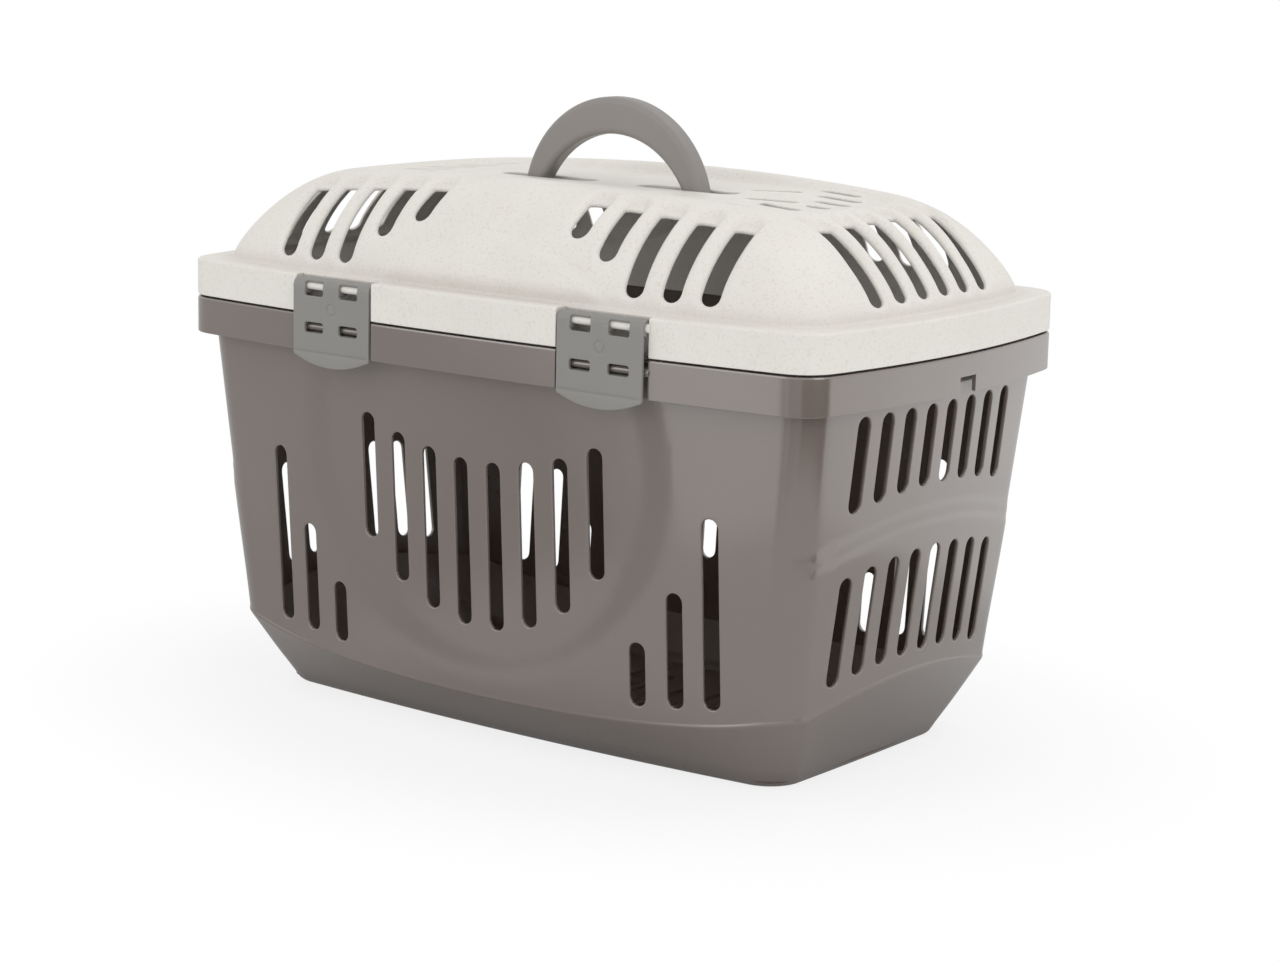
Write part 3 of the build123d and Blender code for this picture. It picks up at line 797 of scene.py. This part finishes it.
def recessDrop(x, y, z):
    # How far the handle's recess lies below the crown, with soft edges
    bow = lid["recessBow"]
    parts = bowedArcs(lid["recessX"], lid["recessY"], bow, bow, lid["recessCorner"])
    (front, frontRadius), (end, endRadius), (turn, corner) = parts
    at = np.stack([np.abs(x), -np.abs(y)], -1)
    onCorner = (cross2(turn - front, at - turn) >= 0) & (cross2(at - turn, turn - end) >= 0)
    sides = np.maximum(np.linalg.norm(at - front, axis=-1) - frontRadius,
                       np.linalg.norm(at - end, axis=-1) - endRadius)
    away = np.where(onCorner, np.linalg.norm(at - turn, axis=-1) - corner, sides)
    floor = lid["recessFloor"] - lid["recessFall"] * smooth(np.abs(x), 100, 168)
    return np.maximum(z - floor, 0) * (1 - smooth(away, *lid["recessEdge"]))


def domeBare(u, v):
    u, v = np.broadcast_arrays(np.asarray(u, float), np.asarray(v, float))
    h = np.interp(v, profileRun, profileH)
    draw = domeDraw(h)
    # near the crown the inner spine draws in, so that it stays inside the outline
    drawnIn = smooth(draw, *lid["spineDraw"])
    start, way = skeleton(u, lid["span"], lid["span"][0] - lid["spineIn"][0] * drawnIn,
                          lid["span"][1] - lid["spineIn"][1] * drawnIn)
    run = reach(start, way, bowedArcs(lid["halfX"] - draw, lid["halfY"] - draw, lid["bowX"], lid["bowY"],
                                      lid["corner"]))
    flat = start + way * run[..., None]
    rise = np.clip((h - 0.05) / 0.95, 0, 1)
    z = lid["foot"] + lid["rise"] * h - lid["crown"] * flat[..., 0] ** 2 * (1 - (1 - rise) ** 2)
    return flat, z, way, h


def lidSlots():
    # Dome slots in loop and profile coordinates, from the low end to the high end
    span, table, slots = lid["span"], np.linspace(0, domeArc, 900), []

    def along(u, out, up, axis):
        flat, z, _, _ = domeBare(np.full(len(table), u), table)
        return table[np.argmin((np.abs(flat[:, axis]) - out) ** 2 + (z - up) ** 2)]

    for side in ("front", "back"):
        for sign in (-1, 1):
            for x, lowY, lowZ in lid["slots"]:
                u = onSide(span, side, sign * x)
                slots.append((u, along(u, lowY, lowZ, 1), u, along(u, *lid["slotTop"], 1), lid["slotHalf"],
                              lid["slotTopRadius"]))
    for side in ("right", "left"):
        for step in range(lid["endCount"]):
            u = onSide(span, side, (step - (lid["endCount"] - 1) / 2) * lid["endPitch"])
            slots.append((u, along(u, *lid["endBottom"], 0), u, along(u, *lid["endTop"], 0), lid["endHalf"],
                          lid["slotTopRadius"]))
    return slots


domeSlots = lidSlots()


def domeRelief(u, v, flat, z, way):
    # Scoops that run into the slots, and the low arch in the front and back
    points = np.stack([u.ravel(), v.ravel()], -1)
    sunk = np.zeros(len(points))
    loop = 4 * sum(lid["span"])
    for slot in domeSlots:
        # places beyond the loop's seam are taken the short way round
        points[:, 0] = slot[0] + np.mod(points[:, 0] - slot[0] + loop / 2, loop) - loop / 2
        near = np.abs(points[:, 0] - slot[0]) < 14
        grown = (slot[0], slot[1], slot[2], slot[3] + lid["scoopPast"], slot[4])
        share = np.clip((points[near, 1] - slot[1]) / (slot[3] - slot[1]), 0, 1)
        away = slotDistance(points[near], grown)
        sunk[near] = np.maximum(sunk[near], (0.35 + 0.65 * smooth(share, 0.1, 0.85)) *
                                (1 - smooth(away, -1.0, lid["scoopWide"])))
    arch = lid["swellPeak"] - lid["swellFall"] * (flat[..., 0] - lid["swellMiddle"]) ** 2
    swell = (1 - smooth(z, arch - 3.0, arch + 3.5)) * smooth(np.abs(way[..., 1]), 0.8, 1)
    swell = swell * smooth(z, lid["foot"], lid["foot"] + 9)
    return lid["swellHeight"] * swell - lid["scoopDepth"] * sunk.reshape(u.shape)


def domeSkin(u, v):
    u, v = np.broadcast_arrays(np.asarray(u, float), np.asarray(v, float))
    flat, z, way, _ = domeBare(u, v)
    e = 0.3
    lower = np.interp(np.maximum(v - e, 0), profileRun, profileH)
    upper = np.interp(v + e, profileRun, profileH)
    over, up = domeDraw(upper) - domeDraw(lower), lid["rise"] * (upper - lower)
    size = np.hypot(over, up)
    relief = domeRelief(u, v, flat, z, way)
    flat = flat + way * (relief * up / size)[..., None]
    z = z + relief * over / size
    return np.concatenate([flat, (z - recessDrop(flat[..., 0], flat[..., 1], z))[..., None]], -1)


def bossSlots():
    ahead = np.array([math.cos(math.radians(lid["bossTurn"])), math.sin(math.radians(lid["bossTurn"]))])
    return [(*(np.array(m) - ahead * lid["bossHalfLength"]), *(np.array(m) + ahead * lid["bossHalfLength"]),
             lid["bossHalf"]) for m in lid["bossSlots"]]


def crownSkin(x, y):
    # The top of the lid over the plane, with the recess and a low bean-shaped boss to the right
    x, y = np.broadcast_arrays(np.asarray(x, float), np.asarray(y, float))
    z = lid["foot"] + lid["rise"] - lid["crown"] * x ** 2
    z = z - recessDrop(x, y, z)
    points = np.stack([x.ravel(), y.ravel()], -1)
    away = np.min([slotDistance(points, slot) for slot in bossSlots()], axis=0).reshape(x.shape)
    z = z + lid["bossHeight"] * (1 - smooth(away, 1.0, lid["bossWide"]))
    ribs = np.min([slotDistance(points, vent) for vent in crownVents()], axis=0).reshape(x.shape)
    z = z + lid["ventLip"] * (1 - smooth(ribs, 0.5, 4.5))
    return np.stack([x, y, z], -1)


def crownVents():
    vents = []
    for step in range(lid["endCount"]):
        y = (step - (lid["endCount"] - 1) / 2) * lid["ventPitch"]
        end = lid["ventEnds"][min(step, lid["endCount"] - 1 - step)]
        vents.append((-end, y, -lid["leftVents"], y, lid["ventHalf"]))
        vents.append((lid["rightVents"][step], y, end, y, lid["ventHalf"]))
    return vents


def gridOver(width, depth, step):
    across, along = np.arange(-width, width + step, step), np.arange(-depth, depth + step, step)
    return np.stack(np.meshgrid(across, along), -1).reshape(-1, 2)


def makeLid():
    mould = Mould()
    span, wall = lid["span"], lid["wall"]
    places, total = loopPlaces(span, lid["step"], lid["cornerSteps"], pocketEdges(), [])
    low, high = np.interp([lid["panelFoot"], lid["panelTop"]], profileH, profileRun)
    rows = round((high - low) / lid["step"])
    heights = low + (high - low) * np.arange(1, rows) / rows
    around = np.append(places, total)
    outer = [(u, low) for u in around] + [(total, v) for v in heights]
    outer += [(u, high) for u in around[::-1]] + [(0.0, v) for v in heights[::-1]]
    grid = np.array([(u, v) for u in places[1:] for v in heights])
    # the grid is closer where the scoops and the arch bend the skin
    extra = [(u + places[1] / 2, v) for u in places[:-1] for v in heights]
    grid = np.concatenate([grid, np.array([p for p in extra if p[0] < total - 1])])
    mould.perforated(domeSkin, outer, domeSlots, grid, wall, lid["lip"])
    ring = domeSkin(places, np.full(len(places), high))
    outline = ring[:, :2]
    grid = gridOver(*lid["crownGrid"], lid["crownStep"])
    clear = np.array([(np.hypot(*(outline - p).T).min() > 1.6) for p in grid])
    keep = insideLoop(grid, outline) & clear
    near, far, half = lid["handleSlot"]
    slots = [(s * near, 0.0, s * far, 0.0, half) for s in (-1, 1)] + crownVents() + bossSlots()
    mould.perforated(crownSkin, [tuple(p) for p in outline], slots, grid[keep], wall, lid["crownLip"])
    print("lid dome and crown perforated")

    def kindAt(u):
        side, across = sideOf(span, np.mod(u, total))
        return pocketKind(across, side in ("front", "back")) if side else "plain"

    starts, ways = skeleton(places, span, *span[:2])
    feet = domeSkin(places, low)
    innerFeet = inward(domeSkin, places, low, np.full(len(places), wall))
    wallRuns = reach(starts, ways, bowedArcs(lid["tubHalfX"], lid["tubHalfY"], tub["bowX"], tub["bowY"],
                                             lid["tubCorner"]))
    insets = (3.2, 2.4, 2.0, 1.6, 0.8, 0.7, 0.25, 0.2, 0)
    lipRuns = {inset: reach(starts, ways, rimArcs(inset)) for inset in insets}

    def column(i, kind):
        d, ground = np.append(ways[i], 0), np.append(starts[i], 0)
        foot, innerFoot, wallRun = feet[i], innerFeet[i], wallRuns[i]

        def at(run, z):
            p = ground + d * run
            return np.array([p[0], p[1], z])

        def lip(inset, z):
            return at(lipRuns[inset][i], z)

        def past(point, off, z):
            return np.array([point[0] + d[0] * off, point[1] + d[1] * off, z])

        top, under, base = lid["foot"], lid["underside"], lid["bandBottom"]
        rows = [foot, past(foot, 0.3, foot[2] - 0.8), past(foot, 0.9, top + 0.35),
                past(foot, 2.0, top + 0.05), past(foot, 3.2, top)]
        plane = (pockets["floorY"] - span[1]) / max(abs(d[1]), 0.1)
        cheek = (lid["cheekInner"] - span[1]) / max(abs(d[1]), 0.1)
        if kind == "pocket":
            rows += [at(plane - 0.8, top), at(plane - 0.2, top - 0.2), at(plane, top - 0.7),
                     at(plane, top - 1.7), at(plane - 0.2, under + 0.2), at(plane - 0.7, under)]
            rows += [at(plane - 0.8, under)] * 5
        else:
            rows += [lip(1.6, top), lip(0.7, top - 0.25), lip(0.2, top - 0.8), lip(0, top - 1.6),
                     lip(0, base + 0.9), lip(0.25, base + 0.25), lip(0.8, base)]
            if kind == "cheek":
                rows += [at(cheek + 0.4, base), at(cheek, base + 0.3), at(cheek, under - 0.2)]
                rows += [at(cheek, under)]
            else:
                rows += [lip(2.0, base), lip(2.4, base + 0.4), lip(2.4, under - 0.8), lip(3.2, under)]
        # the tongue that hangs inside the tub
        out, low = wallRun - lid["tongueGap"], lid["tongueBottom"]
        back = out - lid["tongueWall"]
        return rows + [at(out + 0.6, under), at(out, under - 0.6), at(out, low + 0.4), at(out - 0.6, low),
                       at(back + 0.6, low), at(back, low + 0.4), at(back, under), innerFoot]

    rimColumns(mould, places, total, kindAt, column)
    pocketBars(mould, lid["barY"], lid["barZ"], lid["barRadius"])
    return mould.finish("lidShell", "lid", "lid", "lidPlastic", "lid_plastic")


makeLid()

handle = {
    "outerRadius": 68.27, "outerZ": 306.0, "innerRadius": 59.3, "innerZ": 292.8, "half": 7.0, "edge": 4.0,
    "footZ": 315.1, "toe": (55.0, 95.7), "toeTop": 320.1, "toeBottom": 315.1, "toeEdge": 0.6, "sections": 96,
}


def roundedBlock(mould, x0, x1, y0, y1, z0, z1, radius, cornerSteps=4):
    # A block whose upright and level edges are rounded
    rows = []
    for z, inset in ((z0, radius), (z0 + radius * 0.3, radius * 0.3), (z0 + radius, 0), (z1 - radius, 0),
                     (z1 - radius * 0.3, radius * 0.3), (z1, radius)):
        r = radius * 1.4
        row = []
        for cx, cy, first in ((x1 - r, y0 + r, -90), (x1 - r, y1 - r, 0), (x0 + r, y1 - r, 90),
                              (x0 + r, y0 + r, 180)):
            for i in range(cornerSteps + 1):
                a = math.radians(first + 90 * i / cornerSteps)
                row.append((cx + (r - inset) * math.cos(a), cy + (r - inset) * math.sin(a), z))
        rows.append(row)
    mould.strip(rows)
    mould.cap(rows[0])
    mould.cap(rows[-1])


def makeHandle():
    mould = Mould()
    drop = handle["outerZ"] - handle["innerZ"]
    first = math.asin((handle["footZ"] - handle["outerZ"]) / handle["outerRadius"])
    rows = []
    for step in range(handle["sections"] + 1):
        a = first + (math.pi - 2 * first) * step / handle["sections"]
        c, s = math.cos(a), math.sin(a)
        inner = -drop * s + math.sqrt((drop * s) ** 2 + handle["innerRadius"] ** 2 - drop ** 2)
        outer, half, edge, row = handle["outerRadius"], handle["half"], handle["edge"], []
        for cr, cy, turn in ((outer - edge, half - edge, 0), (inner + edge, half - edge, 90),
                             (inner + edge, -half + edge, 180), (outer - edge, -half + edge, 270)):
            for i in range(7):
                t = math.radians(turn + 90 * i / 6)
                r, y = cr + edge * math.cos(t), cy + edge * math.sin(t)
                row.append((r * c, y, handle["outerZ"] + r * s))
        rows.append(row)
    mould.strip(rows)
    mould.cap(rows[0])
    mould.cap(rows[-1])
    for side in (-1, 1):
        x0, x1 = sorted((side * handle["toe"][0], side * handle["toe"][1]))
        roundedBlock(mould, x0, x1, -handle["half"], handle["half"], handle["toeBottom"], handle["toeTop"],
                     handle["toeEdge"])
    return mould.finish("carryHandle", "handle", "handle", "handlePlastic", "handle_plastic")


makeHandle()

clip = {
    "half": 29.9, "faceY": 144.58, "wall": 2.15, "edge": 0.55, "corner": 2.2,
    "sideBottom": 221.0, "middleBottom": 214.3, "lipOut": 0.3,
    "pivotY": 139.8, "pivotZ": 262.0, "barrel": 4.78, "bore": 2.68, "mouth": 153.0,
    "windowX": 13.5, "windowHalf": 7.3, "windowRadius": 1.6,
    "upper": (256.3, 265.6), "lower": (234.4, 240.6),     # heights of the two rows of windows
    "scoreZ": 222.6, "scoreDepth": 0.6, "scoreWide": 0.9,
    "ringZ": 249.0, "ringRadius": 3.3, "ringDepth": 0.4,
    "jawHalf": 22.5, "jawBack": 136.5, "jawZ": (233.7, 241.3), "jawThick": 1.6,
}


def makeClip(name, body, centreX, face):
    mould = Mould()
    half, edge = clip["half"], clip["edge"]
    topEnd = clip["pivotZ"] + clip["barrel"] * math.radians(clip["mouth"])

    def skin(x, v):
        x, v = np.broadcast_arrays(np.asarray(x, float), np.asarray(v, float))
        turn = np.maximum(v - clip["pivotZ"], 0) / clip["barrel"]
        y = clip["pivotY"] + (clip["faceY"] - clip["pivotY"]) * np.cos(turn)
        z = np.where(v > clip["pivotZ"], clip["pivotZ"] + clip["barrel"] * np.sin(turn), v)
        groove = np.exp(-((v - clip["scoreZ"]) / clip["scoreWide"]) ** 2)
        groove = groove * (1 - smooth(np.abs(x), half - 3, half))
        ring = np.hypot(x, v - clip["ringZ"]) - clip["ringRadius"]
        y = y + clip["lipOut"] * (1 - smooth(v, clip["middleBottom"], clip["scoreZ"]))
        y = y - clip["scoreDepth"] * groove - clip["ringDepth"] * np.exp(-(ring / 0.5) ** 2)
        return np.stack([x, -y, z], -1)

    def outline(inset):
        # Straight sides and top, a bowed bottom, rounded corners
        sag, h = clip["sideBottom"] - clip["middleBottom"], half - inset
        radius = (half ** 2 + sag ** 2) / (2 * sag)
        points, r = [], clip["corner"]
        centreZ = clip["middleBottom"] + radius
        for i in range(25):
            x = (h - r) * (2 * i / 24 - 1)
            points.append((x, centreZ - math.sqrt((radius - inset) ** 2 - x ** 2)))
        low = points[-1][1]
        for i in range(1, 6):
            a = math.radians(90 * i / 5)
            points.append((h - r + r * math.sin(a), low + r - r * math.cos(a)))
        for i in range(1, 30):
            points.append((h, low + r + (topEnd - inset - low - r) * i / 29))
        for i in range(1, 24):
            points.append((h - 2 * h * i / 24, topEnd - inset))
        for i in range(29):
            points.append((-h, topEnd - inset - (topEnd - inset - low - r) * i / 29))
        for i in range(5, 0, -1):
            a = math.radians(90 * i / 5)
            points.append((-(h - r + r * math.sin(a)), low + r - r * math.cos(a)))
        return points

    windowStart, windowEnd = clip["windowX"] - clip["windowHalf"], clip["windowX"] + clip["windowHalf"]
    windows = [(x - clip["windowHalf"], (a + b) / 2, x + clip["windowHalf"], (a + b) / 2, (b - a) / 2,
                clip["windowRadius"], clip["windowRadius"])
               for x in (-clip["windowX"], clip["windowX"]) for a, b in (clip["upper"], clip["lower"])]
    border = np.array(outline(edge))
    xs = np.linspace(-half, half, 34)
    vs = np.concatenate([np.arange(215.0, 221.0, 1.5), np.arange(221.0, 224.6, 0.3),
                         np.arange(225.5, clip["pivotZ"], 1.7), np.arange(clip["pivotZ"], topEnd, 0.8)])
    grid = np.stack(np.meshgrid(xs, vs), -1).reshape(-1, 2)
    grid = grid[np.hypot(grid[:, 0], grid[:, 1] - clip["ringZ"]) > clip["ringRadius"] + 1.8]
    rings = [(r * math.cos(t), clip["ringZ"] + r * math.sin(t)) for r in np.arange(0.3, 5.0, 0.3)
             for t in np.linspace(0, 2 * math.pi, 33)[:-1]]
    grid = np.concatenate([grid, np.array(rings)])
    near = np.array([np.hypot(*(border - p).T).min() > 0.5 for p in grid])
    grid = grid[near & insideLoop(grid, border)]
    mould.perforated(skin, [tuple(p) for p in border], windows, grid, clip["wall"], 0.5, 0.4)
    rows = []
    for inset, depth in ((edge, 0), (edge * 0.29, edge * 0.29), (0, edge), (0, clip["wall"] - edge),
                         (edge * 0.29, clip["wall"] - edge * 0.29), (edge, clip["wall"])):
        loop = np.array(outline(inset))
        rows.append(inward(skin, loop[:, 0], loop[:, 1], np.full(len(loop), depth)))
    mould.strip(rows)
    # the lower half of the barrel, on both sides of the windows and between them
    for x0, x1 in ((-half, -windowEnd), (-windowStart, windowStart), (windowEnd, half)):
        section = []
        for radius, order in ((clip["barrel"], range(0, 13)), (clip["bore"], range(12, -1, -1))):
            for i in order:
                a = math.radians(-clip["mouth"] * i / 12)
                y, z = clip["pivotY"] + radius * math.cos(a), clip["pivotZ"] + radius * math.sin(a)
                section.append((-y, z))
        rows = [[(x, y, z) for y, z in section] for x in (x0 + 0.05, x1 - 0.05)]
        mould.strip(rows)
        mould.cap(rows[0])
        mould.cap(rows[1])
    for z in clip["jawZ"]:
        roundedBlock(mould, -clip["jawHalf"], clip["jawHalf"], -clip["faceY"] + 1.2, -clip["jawBack"],
                     z - clip["jawThick"] / 2, z + clip["jawThick"] / 2, 0.35, 3)
    for points in mould.points:
        points[:, :2] *= -1 if face > 0 else 1
        points[:, 0] += centreX
    pieceName = name.replace("_", " ").title().replace(" ", "") + "Shell"
    mould.finish(pieceName, body, name, "clipPlastic", "clip_plastic")


for name, body, side, face in (("front_latch_left", "front_latch_left", -1, -1),
                               ("front_latch_right", "front_latch_right", 1, -1),
                               ("rear_clip_left", "base", -1, 1), ("rear_clip_right", "base", 1, 1)):
    makeClip(name, body, side * pockets["offset"], face)


def floorMaterial(look):
    material = bpy.data.materials.new("paleFloor")
    material.use_nodes = True
    tree = material.node_tree
    tree.nodes.clear()
    place = node(tree, "ShaderNodeNewGeometry").outputs["Position"]
    mottle = node(tree, "ShaderNodeTexNoise", {"Vector": place, "Scale": 3.0, "Detail": 2.0})
    tone = node(tree, "ShaderNodeMix", {"Factor": mottle.outputs["Fac"], "A": fromHex(look["floorDark"]),
                "B": fromHex(look["floorColour"])}, data_type="RGBA")
    matte = node(tree, "ShaderNodeBsdfPrincipled", {"Base Color": tone.outputs["Result"],
                 "Roughness": look["floorRoughness"], "Specular IOR Level": 0.1})
    # distance from the part, stretched so that the fade follows its footprint
    squeezed = node(tree, "ShaderNodeVectorMath", {0: place, 1: look["fadeStretch"]}, operation="MULTIPLY")
    away = node(tree, "ShaderNodeVectorMath", {0: squeezed.outputs[0]}, operation="LENGTH")
    fade = node(tree, "ShaderNodeMapRange", {"Value": away.outputs["Value"], "From Min": look["fade"][0],
                "From Max": look["fade"][1]}, interpolation_type="SMOOTHSTEP")
    # the camera sees a whiter floor the further it is from the part, so only the soft shadow close by stays
    path = node(tree, "ShaderNodeLightPath")
    white = node(tree, "ShaderNodeEmission", {"Color": (1, 1, 1, 1), "Strength": 1.0})
    share = node(tree, "ShaderNodeMapRange", {"Value": fade.outputs["Result"], "To Min": look["fadeBase"]})
    toCamera = node(tree, "ShaderNodeMath", {0: path.outputs["Is Camera Ray"], 1: share.outputs["Result"]},
                    operation="MULTIPLY")
    seen = node(tree, "ShaderNodeMixShader", {0: toCamera.outputs[0], 1: matte.outputs[0],
                2: white.outputs[0]})
    # painted reflections: glossy plastic sees bright and dark strips glowing on the floor, standing in for
    # softboxes
    offset = node(tree, "ShaderNodeVectorMath", {0: place, 1: look["cardCentre"]}, operation="SUBTRACT")
    parts = node(tree, "ShaderNodeSeparateXYZ", {"Vector": offset.outputs[0]})
    front = node(tree, "ShaderNodeMath", {0: parts.outputs["Y"], 1: -1.0}, operation="MULTIPLY")
    turn = node(tree, "ShaderNodeMath", {0: parts.outputs["X"], 1: front.outputs[0]}, operation="ARCTAN2")
    turned = node(tree, "ShaderNodeMapRange", {"Value": turn.outputs[0], "From Min": -math.pi,
                  "From Max": math.pi})
    paintedStrips = ramp(tree, turned.outputs["Result"], [((angle + 180) / 360, grey(strength))
                                                   for angle, strength in look["cards"]])
    # the strips start some way out, and are brightest far out
    out = node(tree, "ShaderNodeVectorMath", {0: offset.outputs[0]}, operation="LENGTH")
    started = node(tree, "ShaderNodeMapRange", {"Value": out.outputs["Value"],
                   "From Min": look["cardReach"][0], "From Max": look["cardReach"][1]},
                   interpolation_type="SMOOTHSTEP")
    paintedStrips = node(tree, "ShaderNodeMix", {"Factor": started.outputs["Result"],
                  "A": grey(look["plainCard"]), "B": paintedStrips}, data_type="RGBA").outputs["Result"]
    nearEdge, farEdge, nearShare = look["farCards"]
    further = node(tree, "ShaderNodeMapRange", {"Value": out.outputs["Value"], "From Min": nearEdge,
                   "From Max": farEdge, "To Min": nearShare, "To Max": 1.0})
    # painted shade: close to the part the glowing strips are dimmed, as if the floor there lay in its shade
    shade = node(tree, "ShaderNodeMapRange", {"Value": away.outputs["Value"],
                 "From Min": look["cardFade"][0], "From Max": look["cardFade"][1],
                 "To Min": look["cardNear"], "To Max": 1.0}, interpolation_type="SMOOTHSTEP")
    power = node(tree, "ShaderNodeMath", {0: shade.outputs["Result"], 1: further.outputs["Result"]},
                 operation="MULTIPLY")
    glow = node(tree, "ShaderNodeEmission", {"Color": paintedStrips, "Strength": power.outputs[0]})
    seen = node(tree, "ShaderNodeMixShader", {0: path.outputs["Is Glossy Ray"], 1: seen.outputs[0],
                2: glow.outputs[0]})
    node(tree, "ShaderNodeOutputMaterial", {"Surface": seen.outputs[0]})
    return material


def addStage(look):
    half = look["floorHalf"]
    floorMesh = bpy.data.meshes.new("floorMesh")
    steps, row = 24, 25
    spots = [(-half + 2 * half * i / steps, -half + 2 * half * j / steps, -look["floorGap"])
             for j in range(row) for i in range(row)]
    floorMesh.from_pydata(spots, [], [[k, k + 1, k + row + 1, k + row]
                                      for k in (j * row + i for j in range(steps) for i in range(steps))])
    floor = bpy.data.objects.new("studioFloor", floorMesh)
    bpy.context.scene.collection.objects.link(floor)
    floorMesh.materials.append(floorMaterial(look))
    for name, (place, target, wide, tall, watts, colour) in look["lamps"].items():
        light = bpy.data.lights.new(name, "AREA")
        light.shape, light.size, light.size_y = "RECTANGLE", wide, tall
        light.energy, light.color = watts, fromHex(colour)[:3]
        lamp = bpy.data.objects.new(name, light)
        bpy.context.scene.collection.objects.link(lamp)
        lamp.location = place
        lamp.rotation_euler = (Vector(place) - Vector(target)).to_track_quat("Z", "Y").to_euler()
        lamp.visible_camera = False
    world = bpy.data.worlds.new("studio")
    bpy.context.scene.world = world
    world.use_nodes = True
    tree = world.node_tree
    tree.nodes.clear()
    path = node(tree, "ShaderNodeLightPath")
    glow = node(tree, "ShaderNodeBackground", {"Color": (1, 1, 1, 1), "Strength": look["worldLight"]})
    plain = node(tree, "ShaderNodeBackground", {"Color": (1, 1, 1, 1), "Strength": 1.0})
    mix = node(tree, "ShaderNodeMixShader", {0: path.outputs["Is Camera Ray"], 1: glow.outputs[0],
               2: plain.outputs[0]})
    node(tree, "ShaderNodeOutputWorld", {"Surface": mix.outputs[0]})


def addCamera(look):
    azimuth, elevation, roll = (math.radians(look[k]) for k in ("azimuth", "elevation", "roll"))
    back = Vector((math.sin(azimuth) * math.cos(elevation), -math.cos(azimuth) * math.cos(elevation),
                   math.sin(elevation)))
    right = Vector((math.cos(azimuth), math.sin(azimuth), 0.0))
    up = back.cross(right)
    across = right * math.cos(roll) + up * math.sin(roll)
    upward = up * math.cos(roll) - right * math.sin(roll)
    data = bpy.data.cameras.new("photoCamera")
    data.lens, data.sensor_width = look["lens"], look["sensor"]
    data.clip_start, data.clip_end = 0.05, 50.0
    eye = bpy.data.objects.new("photoCamera", data)
    bpy.context.scene.collection.objects.link(eye)
    spot = Vector(look["target"]) + back * look["distance"]
    turn = Matrix((across, upward, back)).transposed().to_4x4()
    eye.matrix_world = Matrix.Translation(spot) @ turn
    bpy.context.scene.camera = eye


addStage(stage)
addCamera(camera)
bpy.context.scene.view_settings.view_transform = "Standard"
print("stage, lamps and camera set")
